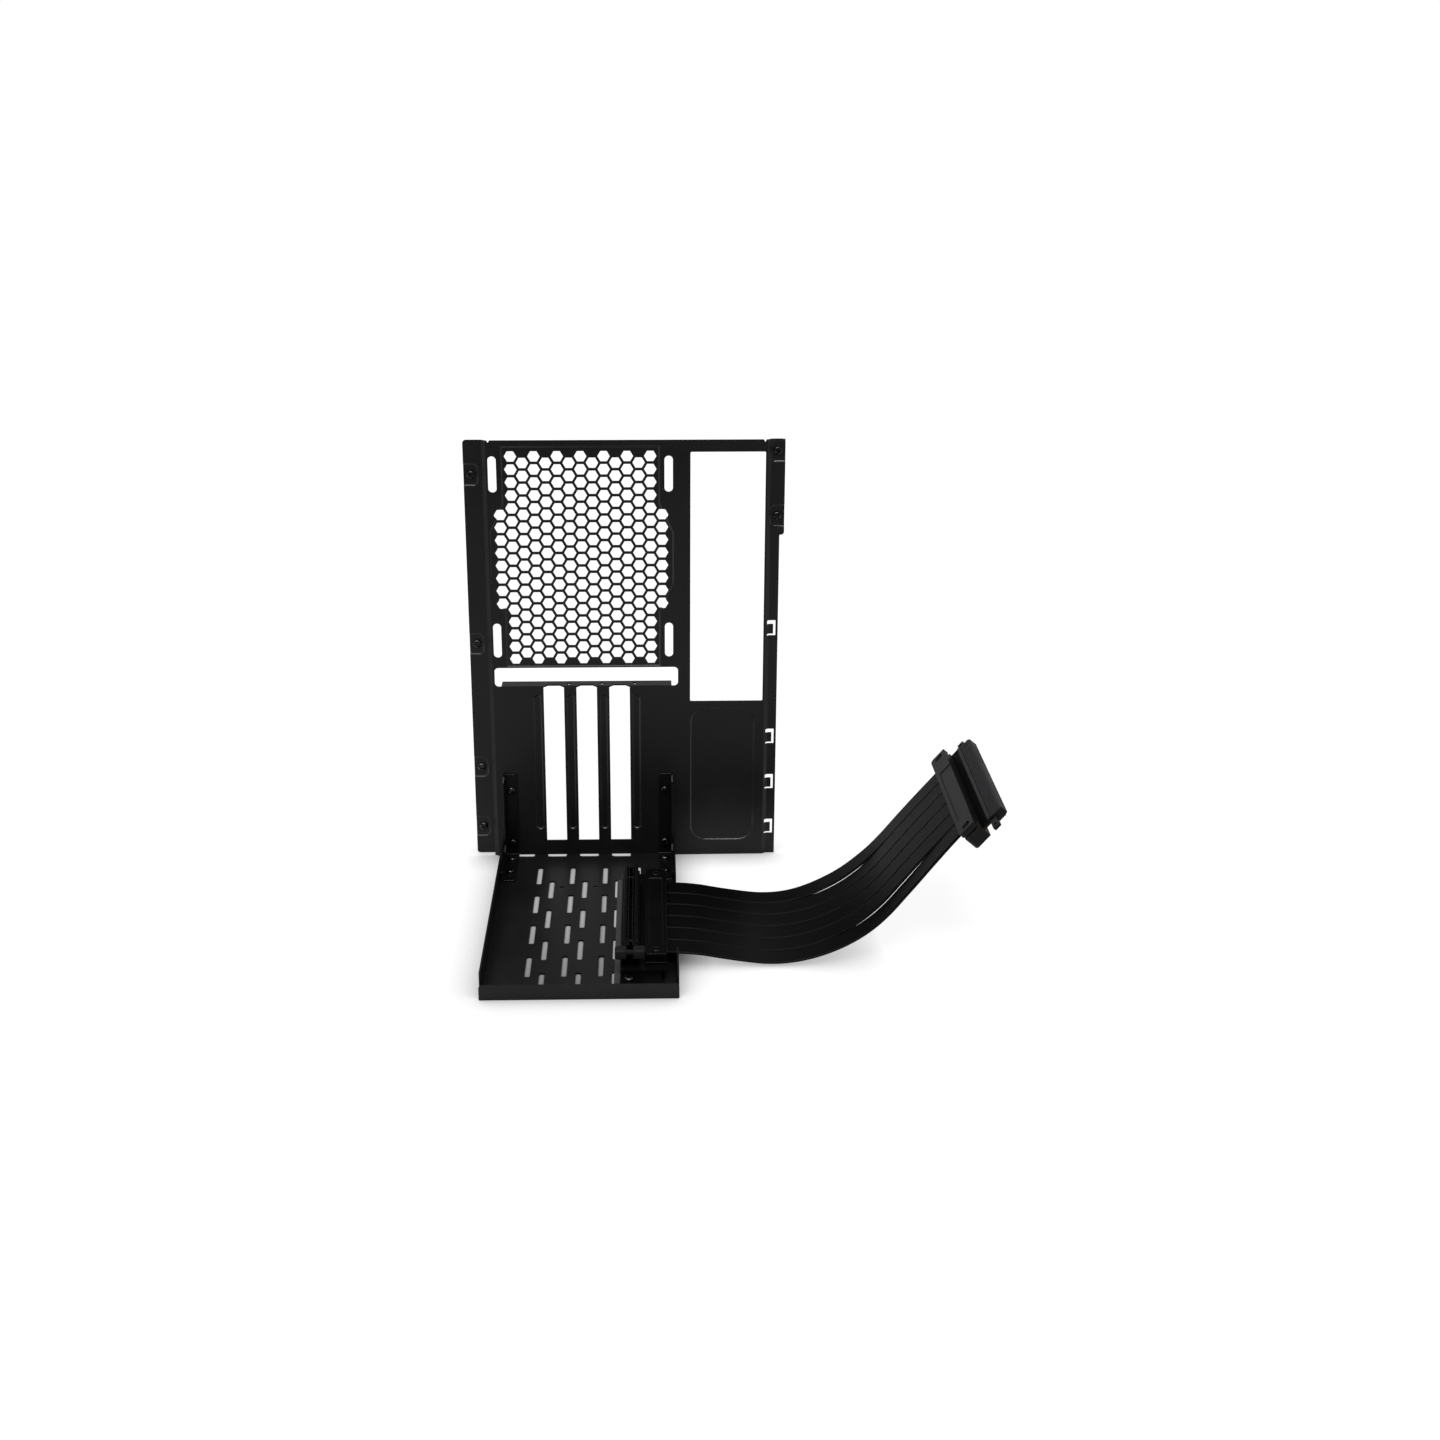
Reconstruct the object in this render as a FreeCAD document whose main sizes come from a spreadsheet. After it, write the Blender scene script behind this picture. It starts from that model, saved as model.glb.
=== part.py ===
"""Upright mount for a graphics card: folded rear panel, slotted tray, riser socket, flat cable and plug.

Frame: X runs along the panel, from the middle expansion slot. Y points from the tray to the panel.
Z is up, from the surface that the tray stands on. Lengths are millimetres and angles are degrees.
"""
import FreeCAD
import Part
import Sketcher
import math
import os
import re

Vector = FreeCAD.Vector
Rotation = FreeCAD.Rotation
Placement = FreeCAD.Placement

SIZES = {
    # folded sheet
    "sheet": 1.0,
    "press_depth": 0.6,
    "press_wall": 0.6,
    # rear panel: flat middle, stepped edge strips, tab at the upper right
    "panel_setback": 99.0,
    "panel_height": 271.5,
    "panel_left": 57.6,
    "panel_right": 110.0,
    "joggle_run": 2.5,
    "joggle_step": 2.0,
    "left_strip": 11.1,
    "right_strip": 5.3,
    "tab_reach": 2.8,
    "tab_bottom": 212.0,
    "strip_lift": 1.8,
    "corner_radius": 2.0,
    "relief_notch": 1.6,
    # expansion slots and the lip above them
    "slot_pitch": 20.32,
    "slot_width": 12.6,
    "slot_bottom": 10.8,
    "lip_top": 116.0,
    "lip_depth": 8.0,
    "lip_half": 52.5,
    "lip_notch": 2.6,
    "lip_hole_offset": 9.4,
    "lip_hole_depth": 4.0,
    "lip_hole_radius": 1.5,
    "window_half": 56.5,
    "window_rise": 12.0,
    "window_radius": 2.5,
    # input and output opening, pressed rectangle below it
    "io_left": 64.0,
    "io_width": 44.9,
    "io_bottom": 105.1,
    "io_height": 159.1,
    "io_radius": 0.8,
    "press_left": 64.8,
    "press_width": 38.7,
    "press_bottom": 11.0,
    "press_height": 89.0,
    "press_radius": 9.0,
    # pressed ribs between the expansion slots
    "rib_width": 4.0,
    "rib_length": 90.0,
    "rib_middle": 64.3,
    "rib_clip": 1.3,
    # fan vent
    "fan_x": -1.5,
    "fan_z": 198.3,
    "fan_spacing": 105.0,
    "fan_slot_width": 5.0,
    "fan_slot_length": 22.3,
    "hex_pitch": 8.0,
    "hex_flats": 6.5,
    "hex_drop": 0.7,
    "vent_narrow": 46.5,
    "vent_wide": 54.8,
    "vent_rise": 69.0,
    "vent_shoulder_low": 16.0,
    "vent_shoulder_high": 34.0,
    # screw pads and hook windows in the edge strips
    "pad_width": 8.3,
    "pad_height": 12.4,
    "pad_clip": 1.8,
    "pad_inset": 4.5,
    "hook_left": 111.2,
    "hook_width": 5.2,
    "hook_height": 10.0,
    "hook_gap": 1.3,
    "hook_tongue": 3.8,
    # tray
    "tray_half": 54.4,
    "tray_depth": 167.0,
    "flange_height": 14.5,
    "flange_relief": 3.0,
    "front_lip": 9.0,
    "bend_radius": 0.8,
    "tray_slot_x": -29.8,
    "tray_slot_shift": 8.1,
    "tray_slot_step": 35.4,
    "tray_slot_first": 28.2,
    "tray_slot_width": 3.2,
    "tray_slot_length": 21.5,
    "tray_slot_clip": 0.6,
    "foot_notch_width": 11.8,
    "foot_notch_depth": 3.2,
    "cable_notch_floor": 7.0,
    "cable_notch_gap": 2.0,
    "locating_hole": 1.2,
    "locating_x": 5.0,
    "locating_depth": 43.2,
    # uprights
    "upright_inner": 44.3,
    "upright_gap": 0.2,
    "upright_top": 57.0,
    "upright_leg": 7.0,
    "upright_foot": 36.0,
    "upright_chamfer": 3.0,
    "upright_screw_high": 46.0,
    "upright_screw_low": 10.0,
    "foot_screw_near": 8.0,
    "foot_screw_far": 24.5,
    # screws
    "screw_radius": 1.4,
    "screw_clearance": 0.1,
    "head_radius": 2.7,
    "head_height": 1.8,
    "panel_screw_length": 6.0,
    "upright_screw_length": 4.0,
    "clamp_screw_radius": 1.0,
    "clamp_head_radius": 1.9,
    "clamp_head_height": 1.2,
    # riser bracket, standoffs and board
    "bracket_left": 18.6,
    "bracket_foot": 4.0,
    "bracket_right": 44.6,
    "bracket_rise": 5.1,
    "bracket_back": 36.5,
    "bracket_length": 126.0,
    "bracket_screw_x": 27.0,
    "bracket_screw_inset": 5.5,
    "standoff_radius": 3.0,
    "board": 1.6,
    "riser_board_left": 22.0,
    "riser_board_right": 47.6,
    "riser_board_back": 45.5,
    "riser_board_length": 105.5,
    # card socket and its latch
    "socket_x": 27.5,
    "socket_width": 10.0,
    "socket_height": 11.25,
    "socket_back": 49.6,
    "socket_length": 89.0,
    "socket_ledge": 0.9,
    "socket_ledge_height": 7.5,
    "groove_width": 1.8,
    "groove_depth": 7.9,
    "groove_inset": 2.0,
    "groove_lead": 12.15,
    "key_width": 1.7,
    "contact_trough": 0.8,
    "contact_wall": 0.55,
    "contact_pitch": 4.0,
    "contact_width": 1.4,
    "contact_height": 7.0,
    "contact_drop": 4.4,
    "cheek_reach": 5.6,
    "cheek_height": 5.4,
    "cheek_wall": 1.2,
    "latch_axis_reach": 2.9,
    "latch_axis_height": 2.8,
    "latch_pin_radius": 1.0,
    "latch_play": 0.3,
    "latch_root_radius": 2.2,
    "latch_top": 11.8,
    "latch_reach": 11.5,
    "latch_shelf": 6.0,
    "ear_half": 8.4,
    "ear_reach": 5.5,
    "ear_radius": 2.0,
    # cable clamp beside the socket
    "clamp_left": 35.7,
    "clamp_width": 12.5,
    "clamp_back": 46.5,
    "clamp_base_height": 1.5,
    "clamp_cover_height": 5.3,
    "clamp_end": 8.6,
    "clamp_screw_x": 42.0,
    "clamp_screw_inset": 5.2,
    "clamp_panel_depth": 0.5,
    "clamp_panel_margin": 2.4,
    "clamp_clip": 1.0,
    # flat cable
    "strip_width": 13.3,
    "strip_gap": 0.2,
    "ribbon": 1.6,
    "ribbon_side_gap": 0.3,
    # plug at the free end
    "plug_entry": 6.0,
    "plug_cover_length": 11.2,
    "plug_cover_half": 48.3,
    "plug_cover_height": 3.4,
    "plug_base_height": 8.0,
    "plug_drop": 3.4,
    "plug_cover_bevel": 1.5,
    "plug_screw_reach": 5.4,
    "plug_screw_inset": 3.9,
    "plug_slot_reach": 6.0,
    "plug_slot_length": 5.4,
    "plug_boss_radius": 1.9,
    "plug_panel_far": 27.0,
    "plug_panel_near": 34.0,
    "plug_shoulder": 6.0,
    "tongue_half": 44.9,
    "tongue_shift": 3.2,
    "tongue_length": 8.6,
    "edge_key": 1.9,
    "edge_key_reach": 32.8,
    "ear_hole_radius": 1.1,
    "ear_hole_inset": 2.2,
    "cap_wall": 1.4,
    "cap_height": 2.6,
    "cap_clearance": 0.15,
    "cap_rib": 0.35,
    "cap_rib_pitch": 1.2,
    "cap_rim": 2.2,
    "cap_rim_rise": 0.7,
    "cap_tab": 2.0,
    "cap_tab_half": 54.5,
    "cap_tab_reach": 4.4,
}

HEX_ROWS = 17
HEX_COLUMNS = 13
HEX_OUTER_ROWS = 8
EXPANSION_SLOTS = 3
TRAY_SLOT_COLUMNS = 4
TRAY_SLOT_ROWS = 4
FOOT_NOTCHES = 4
CONTACTS_BEFORE_KEY = 3
CONTACTS_AFTER_KEY = 17
RIBBON_STRIPS = 6
CAP_RIBS = 5
HOLE_SIDES = 8
SHANK_SIDES = 6
HEAD_SIDES = 12
STANDOFF_SIDES = 6
LEFT_PADS = (20.3, 61.1, 143.2, 250.3)
RIGHT_PADS = (224.0, 264.3)
HOOKS = (18.6, 49.6, 80.5, 152.4)

# The flat cable's side view, chosen by hand: distance along X and height above the standing surface.
RIBBON_ROUTE = (
    (38.0, 10.0),
    (60.2, 10.0),
    (83.3, 5.2),
    (110.9, 1.3),
    (138.6, 7.5),
    (164.7, 24.6),
    (185.7, 52.0),
    (200.0, 69.6),
    (214.0, 86.2),
)
BEND_SHARE = 0.45

NAME = re.compile(r"[a-z]\w*")

doc = FreeCAD.newDocument("VerticalCardMount")
sheet = doc.addObject("Spreadsheet::Sheet", "Sizes")
nodes = []


def fill_sheet():
    """Write every driving size into a cell with its own alias."""
    for row, (alias, size) in enumerate(SIZES.items(), 1):
        sheet.set(f"A{row}", alias)
        sheet.set(f"B{row}", str(size))
        sheet.setAlias(f"B{row}", alias)
    doc.recompute()


def sized(text):
    """Return a formula whose size names point at the sheet's cells."""
    return NAME.sub(lambda word: f"Sizes.{word.group()}" if word.group() in SIZES else word.group(), text)


def number(text):
    """Return a formula's present value."""
    return float(sheet.evalExpression(sized(text)))


def bind(item, **formulas):
    """Tie properties of an object to formulas of the sheet."""
    for name, text in formulas.items():
        item.setExpression(name, sized(text))


def put(item, x="0", y="0", z="0"):
    """Tie an object's position to formulas of the sheet."""
    for axis, text in zip("xyz", (x, y, z)):
        item.setExpression(f"Placement.Base.{axis}", sized(text))


def node(item, label):
    """Name an object and list it as a piece of the assembly."""
    item.Label = label
    nodes.append(item)
    return item


def start_body(label):
    """Start a body whose Y is measured from the panel's inner face."""
    body = doc.addObject("PartDesign::Body", label)
    put(body, y="panel_setback")
    return body


def new_body(label):
    """Start a body that is a piece of the assembly."""
    return node(start_body(label), label)


def sketch_on(body, role, offset="0"):
    """Start a sketch on one of a body's own planes, moved along the plane's normal."""
    planes = {feature.Role: feature for feature in body.Origin.OriginFeatures}
    sketch = body.newObject("Sketcher::SketchObject", "Profile")
    sketch.AttachmentSupport = [(planes[role], "")]
    sketch.MapMode = "FlatFace"
    sketch.setExpression("AttachmentOffset.Base.z", sized(offset))
    return sketch


def constrain(sketch, joins, sizes):
    """Add a drawing's joins and dimensions in one go, and tie each dimension to its formula.

    A join is a kind with its places. A dimension is a kind, a formula and its places.
    """
    constraints = [Sketcher.Constraint(kind, *places) for kind, *places in joins]
    constraints += [Sketcher.Constraint(kind, *places, number(text)) for kind, text, *places in sizes]
    first = sketch.ConstraintCount + len(joins)
    sketch.addConstraint(constraints)
    for index, (kind, text, *places) in enumerate(sizes, first):
        sketch.setExpression(f"Constraints[{index}]", sized(text))


def located(edge, end, x, y):
    """Return the two dimensions that place a point of a sketch from its origin."""
    return [("DistanceX", x, -1, 1, edge, end), ("DistanceY", y, -1, 1, edge, end)]


def polygon(sketch, *corners):
    """Draw a closed outline through corners given as pairs of formulas.

    A side whose ends share a formula is drawn upright or level, and its second end needs no dimension there.
    """
    first = sketch.GeometryCount
    points = [Vector(number(x), number(y), 0) for x, y in corners]
    count = len(points)
    lines, joins = [], []
    sizes = located(first, 1, *corners[0])
    for place in range(count):
        lines.append(Part.LineSegment(points[place], points[(place + 1) % count]))
        joins.append(("Coincident", first + place, 2, first + (place + 1) % count, 1))
    for place in range(1, count):
        dimensions = located(first + place, 1, *corners[place])
        for axis, side in enumerate(("Vertical", "Horizontal")):
            if corners[place][axis] == corners[place - 1][axis]:
                joins.append((side, first + place - 1))
            elif place == count - 1 and corners[place][axis] == corners[0][axis]:
                joins.append((side, first + place))
            else:
                sizes.append(dimensions[axis])
    sketch.addGeometry(lines, False)
    constrain(sketch, joins, sizes)


def rectangle(sketch, left, right, low, high):
    """Draw a rectangle from formulas of its four sides."""
    polygon(sketch, (left, low), (right, low), (right, high), (left, high))


def circle(sketch, x, y, radius):
    """Draw a circle from formulas of its centre and radius."""
    shape = Part.Circle(Vector(number(x), number(y), 0), Vector(0, 0, 1), number(radius))
    edge = sketch.addGeometry(shape, False)
    constrain(sketch, [], located(edge, 3, x, y) + [("Radius", radius, edge)])


def arc_chain(sketch, centres, radius):
    """Draw a closed convex outline of equal arcs, counter-clockwise, joined by tangent lines.

    Each centre is a pair of formulas with the angles, in degrees, at which its arc starts and ends.
    """
    first = sketch.GeometryCount
    count = len(centres)
    size = number(radius)
    arcs, ends = [], []
    for x, y, start, stop in centres:
        middle = Vector(number(x), number(y), 0)
        round_edge = Part.Circle(middle, Vector(0, 0, 1), size)
        low, high = math.radians(start), math.radians(stop)
        arcs.append(Part.ArcOfCircle(round_edge, low, high))
        ends.append([middle + Vector(math.cos(turn), math.sin(turn), 0) * size for turn in (low, high)])
    lines = [Part.LineSegment(ends[place][1], ends[(place + 1) % count][0]) for place in range(count)]
    sketch.addGeometry(arcs + lines, False)
    joins, sizes = [], []
    for place in range(count):
        arc, line = first + place, first + count + place
        joins.append(("Tangent", arc, 2, line, 1))
        joins.append(("Tangent", line, 2, first + (place + 1) % count, 1))
        sizes += located(arc, 3, *centres[place][:2]) + [("Radius", radius, arc)]
    constrain(sketch, joins, sizes)


def rounded_box(sketch, left, right, low, high, radius):
    """Draw a rectangle with four equal round corners."""
    near, far = f"({left}) + {radius}", f"({right}) - {radius}"
    base, top = f"({low}) + {radius}", f"({high}) - {radius}"
    corners = ((far, base, 270, 360), (far, top, 0, 90), (near, top, 90, 180), (near, base, 180, 270))
    arc_chain(sketch, corners, radius)


def upright_slot(sketch, x, y, width, length):
    """Draw a round-ended slot that runs along the sketch's second axis."""
    half = f"(({length}) - ({width})) / 2"
    ends = ((x, f"({y}) + {half}", 0, 180), (x, f"({y}) - {half}", 180, 360))
    arc_chain(sketch, ends, f"({width}) / 2")


def clipped_box(sketch, left, right, low, high, clip):
    """Draw a rectangle with four clipped corners."""
    polygon(
        sketch,
        (f"({left}) + {clip}", low),
        (f"({right}) - {clip}", low),
        (right, f"({low}) + {clip}"),
        (right, f"({high}) - {clip}"),
        (f"({right}) - {clip}", high),
        (f"({left}) + {clip}", high),
        (left, f"({high}) - {clip}"),
        (left, f"({low}) + {clip}"),
    )


def clipped_slot(sketch, x, y, width, height, clip):
    """Draw a clipped rectangle round its middle."""
    sides = (f"({x}) - ({width}) / 2", f"({x}) + ({width}) / 2")
    ends = (f"({y}) - ({height}) / 2", f"({y}) + ({height}) / 2")
    clipped_box(sketch, *sides, *ends, clip)


def screw_hole(sketch, x, y, radius):
    """Draw a screw's clearance hole as an octagon whose flats lie at the radius."""
    clip = f"({radius}) * {2 - math.sqrt(2)}"
    clipped_slot(sketch, x, y, f"2 * ({radius})", f"2 * ({radius})", clip)


def pad(body, sketch, length, reverse=False, middle=False):
    """Grow a sketch into solid."""
    feature = body.newObject("PartDesign::Pad", "Pad")
    feature.Profile = sketch
    feature.Reversed = reverse
    feature.Midplane = middle
    bind(feature, Length=length)
    doc.recompute()
    return feature


def cut(body, sketch, depth=None, reverse=False):
    """Cut a sketch into the solid, right through if no depth is given, and test that something goes."""
    before = body.Shape.Volume
    feature = body.newObject("PartDesign::Pocket", "Pocket")
    feature.Profile = sketch
    if depth is None:
        feature.Type = "ThroughAll"
        feature.Midplane = True
    else:
        feature.Reversed = reverse
        bind(feature, Length=depth)
    doc.recompute()
    if body.Shape.Volume >= before:
        raise RuntimeError(f"a cut in {body.Label} removes nothing")
    return feature


def repeat(body, features, sketch, **rows):
    """Repeat features along the sketch's axes: H or V to a spacing formula and a count."""
    grid = body.newObject("PartDesign::MultiTransform", "Grid")
    grid.Originals = features
    patterns = []
    for axis, (spacing, count) in rows.items():
        row = body.newObject("PartDesign::LinearPattern", "Row")
        row.Direction = (sketch, [f"{axis}_Axis"])
        row.Occurrences = count
        bind(row, Length=f"({spacing}) * {count - 1}")
        patterns.append(row)
    grid.Transformations = patterns
    body.Tip = grid
    doc.recompute()
    return grid


def edges_at(body, direction, places):
    """Return the names of straight edges that run along a direction through given points."""
    shape = body.Shape
    origin = body.Placement.Base
    found = []
    for place in places:
        point = Vector(*(number(text) for text in place)) + origin
        for index, edge in enumerate(shape.Edges, 1):
            along = edge.tangentAt(edge.FirstParameter)
            if along.cross(direction).Length < 1e-6 and edge.distToShape(Part.Vertex(point))[0] < 1e-4:
                found.append(f"Edge{index}")
                break
        else:
            raise RuntimeError(f"{body.Label} has no edge at {place}")
    return found


def round_edges(body, direction, radius, places):
    """Fillet straight edges of a body."""
    base = body.Tip
    names = edges_at(body, direction, places)
    feature = body.newObject("PartDesign::Fillet", "Fillet")
    feature.Base = (base, names)
    bind(feature, Radius=radius)
    doc.recompute()
    return feature


def press(body, draw, face="0", depth="press_depth"):
    """Press an outline away from the front: a boss behind the sheet and a hollow in front of it.

    draw takes a sketch and the growth of the outline; face is the sheet's front in Y.
    """
    behind = sketch_on(body, "XZ_Plane", f"-({face}) - sheet")
    draw(behind, "press_wall")
    boss = pad(body, behind, depth, reverse=True)
    front = sketch_on(body, "XZ_Plane", f"-({face})")
    draw(front, "0")
    hollow = cut(body, front, depth)
    return boss, hollow, front


STRIP_FOLD_LEFT = "-(panel_left + joggle_run)"
STRIP_EDGE_LEFT = "-(panel_left + joggle_run + left_strip)"
STRIP_FOLD_RIGHT = "panel_right + joggle_run"
STRIP_EDGE_RIGHT = "panel_right + joggle_run + right_strip"
TAB_EDGE = "panel_right + joggle_run + right_strip + tab_reach"
UPRIGHT_OUTER = "(tray_half - sheet - upright_gap)"
UPRIGHT_SCREW_X = f"((upright_inner + {UPRIGHT_OUTER} - sheet) / 2)"
THREAD_HOLE = "screw_radius + screw_clearance"
SLOT_ROW_LEFT = f"-slot_pitch * {(EXPANSION_SLOTS - 1) / 2}"
RIBBON_WIDTH = f"(strip_width * {RIBBON_STRIPS} + strip_gap * {RIBBON_STRIPS - 1})"
CLAMP_LENGTH = f"({RIBBON_WIDTH} + 2 * (ribbon_side_gap + clamp_end))"
RIBBON_MIDDLE = f"(clamp_back + {CLAMP_LENGTH} / 2)"
BOARD_TOP = "(sheet + bracket_rise + board)"
FOOT_NOTCH_SIDES = (
    f"{SLOT_ROW_LEFT} - slot_pitch - foot_notch_width / 2",
    f"{SLOT_ROW_LEFT} - slot_pitch + foot_notch_width / 2",
)
PAD_SCREWS = [(f"{STRIP_EDGE_LEFT} + pad_inset", f"{height}") for height in LEFT_PADS]
PAD_SCREWS += [(f"{TAB_EDGE} - pad_inset", f"{height}") for height in RIGHT_PADS]
UPRIGHT_SCREWS = [
    (f"{side} * {UPRIGHT_SCREW_X}", height)
    for side in ("-1", "1")
    for height in ("upright_screw_low", "upright_screw_high")
]
MARGIN = "1"


def panel_sheet(body):
    """Fold the panel's section and trim its outline."""
    section = sketch_on(body, "XY_Plane")
    polygon(
        section,
        (STRIP_EDGE_LEFT, "joggle_step"),
        (STRIP_FOLD_LEFT, "joggle_step"),
        ("-panel_left", "0"),
        ("panel_right", "0"),
        (STRIP_FOLD_RIGHT, "joggle_step"),
        (TAB_EDGE, "joggle_step"),
        (TAB_EDGE, "joggle_step + sheet"),
        (STRIP_FOLD_RIGHT, "joggle_step + sheet"),
        ("panel_right", "sheet"),
        ("-panel_left", "sheet"),
        (STRIP_FOLD_LEFT, "joggle_step + sheet"),
        (STRIP_EDGE_LEFT, "joggle_step + sheet"),
    )
    pad(body, section, "panel_height")
    trim = sketch_on(body, "XZ_Plane")
    rectangle(trim, f"{STRIP_EDGE_LEFT} - {MARGIN}", STRIP_FOLD_LEFT, f"-{MARGIN}", "strip_lift")
    rectangle(trim, STRIP_EDGE_RIGHT, f"{TAB_EDGE} + {MARGIN}", f"-{MARGIN}", "tab_bottom")
    for fold in ("-panel_left + relief_notch", "panel_right - relief_notch"):
        polygon(
            trim,
            (f"{fold} - relief_notch / 2", f"panel_height + {MARGIN}"),
            (f"{fold} - relief_notch / 2", "panel_height"),
            (fold, "panel_height - relief_notch"),
            (f"{fold} + relief_notch / 2", "panel_height"),
            (f"{fold} + relief_notch / 2", f"panel_height + {MARGIN}"),
        )
    cut(body, trim)
    outer = "joggle_step + sheet / 2"
    corners = (
        (STRIP_EDGE_LEFT, outer, "strip_lift"),
        (STRIP_EDGE_LEFT, outer, "panel_height"),
        (TAB_EDGE, outer, "panel_height"),
        (TAB_EDGE, outer, "tab_bottom"),
    )
    round_edges(body, Vector(0, 1, 0), "corner_radius", corners)


def panel_openings(body):
    """Cut the window, the tall opening and the expansion slots."""
    openings = sketch_on(body, "XZ_Plane")
    io_right, io_top = "io_left + io_width", "io_bottom + io_height"
    rounded_box(openings, "io_left", io_right, "io_bottom", io_top, "io_radius")
    window_low = "lip_top - sheet / 2"
    window_top = "lip_top + window_rise"
    rounded_box(openings, "-window_half", "window_half", window_low, window_top, "window_radius")
    cut(body, openings)
    slot = sketch_on(body, "XZ_Plane")
    left = f"{SLOT_ROW_LEFT} - slot_width / 2"
    right = f"{SLOT_ROW_LEFT} + slot_width / 2"
    rectangle(slot, left, right, "slot_bottom", "lip_top - sheet")
    feature = cut(body, slot)
    repeat(body, [feature], slot, H=("slot_pitch", EXPANSION_SLOTS))
    notch = sketch_on(body, "XZ_Plane")
    rectangle(notch, *FOOT_NOTCH_SIDES, f"-{MARGIN}", "sheet")
    feature = cut(body, notch)
    repeat(body, [feature], notch, H=("slot_pitch", FOOT_NOTCHES))


def panel_lip(body):
    """Fold the lip back from the window's lower edge, with a notch at each slot and a hole beside it."""
    side = sketch_on(body, "YZ_Plane")
    rectangle(side, "0", "lip_depth", "lip_top - sheet", "lip_top")
    pad(body, side, "2 * lip_half", middle=True)
    notch = sketch_on(body, "XY_Plane", "lip_top")
    left = f"{SLOT_ROW_LEFT} - slot_width / 2"
    right = f"{SLOT_ROW_LEFT} + slot_width / 2"
    polygon(
        notch,
        (left, f"-{MARGIN}"),
        (right, f"-{MARGIN}"),
        (right, "0"),
        (f"{right} - lip_notch", "lip_notch"),
        (f"{left} + lip_notch", "lip_notch"),
        (left, "0"),
    )
    circle(notch, f"{SLOT_ROW_LEFT} + lip_hole_offset", "lip_hole_depth", "lip_hole_radius")
    feature = cut(body, notch, "sheet")
    repeat(body, [feature], notch, H=("slot_pitch", EXPANSION_SLOTS))


def panel_presses(body):
    """Press the ribs, the rectangle and the screw pads into the sheet."""

    def rib(sketch, grow):
        x = f"{SLOT_ROW_LEFT} - slot_pitch / 2"
        width, length = f"(rib_width + 2 * {grow})", f"(rib_length + 2 * {grow})"
        clipped_slot(sketch, x, "rib_middle", width, length, "rib_clip")

    boss, hollow, front = press(body, rib)
    repeat(body, [boss, hollow], front, H=("slot_pitch", EXPANSION_SLOTS + 1))

    def field(sketch, grow):
        right, top = "press_left + press_width", "press_bottom + press_height"
        sides = (f"press_left - {grow}", f"{right} + {grow}", f"press_bottom - {grow}", f"{top} + {grow}")
        rounded_box(sketch, *sides, "press_radius")

    press(body, field)

    def pads(edge, inward, heights):
        def draw(sketch, grow):
            inner = f"{edge} {inward} (pad_width + {grow})"
            step = f"{edge} {inward} (pad_width + {grow} - pad_clip)"
            for height in heights:
                low, high = f"{height} - (pad_height / 2 + {grow})", f"{height} + (pad_height / 2 + {grow})"
                polygon(
                    sketch,
                    (edge, low),
                    (step, low),
                    (inner, f"{low} + pad_clip"),
                    (inner, f"{high} - pad_clip"),
                    (step, high),
                    (edge, high),
                )

        return draw

    press(body, pads(STRIP_EDGE_LEFT, "+", LEFT_PADS), "joggle_step")
    press(body, pads(TAB_EDGE, "-", RIGHT_PADS), "joggle_step")


def panel_hooks(body):
    """Cut the hook windows, each round a tongue."""
    right = "hook_left + hook_width"
    tongue = "hook_left + hook_tongue"
    for middle in HOOKS:
        low, high = f"{middle} - hook_height / 2", f"{middle} + hook_height / 2"
        window = sketch_on(body, "XZ_Plane")
        polygon(
            window,
            ("hook_left", low),
            (right, low),
            (right, high),
            ("hook_left", high),
            ("hook_left", f"{high} - 2 * hook_gap"),
            (tongue, f"{high} - 2 * hook_gap"),
            (tongue, f"{low} + hook_gap"),
            ("hook_left", f"{low} + hook_gap"),
        )
        cut(body, window)


def panel_vent(body):
    """Press the fan vent's field and cut the four fan slots."""

    def field(sketch, grow):
        narrow, wide = f"(vent_narrow + {grow})", f"(vent_wide + {grow})"
        steps = (
            (narrow, f"-(vent_rise + {grow})"),
            (narrow, f"-(vent_shoulder_high + {grow})"),
            (wide, "-vent_shoulder_low"),
            (wide, "vent_shoulder_low"),
            (narrow, f"vent_shoulder_high + {grow}"),
            (narrow, f"vent_rise + {grow}"),
        )
        right = [(f"fan_x + {x}", f"fan_z + ({z})") for x, z in steps]
        left = [(f"fan_x - {x}", f"fan_z + ({z})") for x, z in reversed(steps)]
        polygon(sketch, *right, *left)

    press(body, field)
    slot = sketch_on(body, "XZ_Plane")
    corner = ("fan_x - fan_spacing / 2", "fan_z - fan_spacing / 2")
    upright_slot(slot, *corner, "fan_slot_width", "fan_slot_length")
    feature = cut(body, slot)
    repeat(body, [feature], slot, H=("fan_spacing", 2), V=("fan_spacing", 2))


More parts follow.
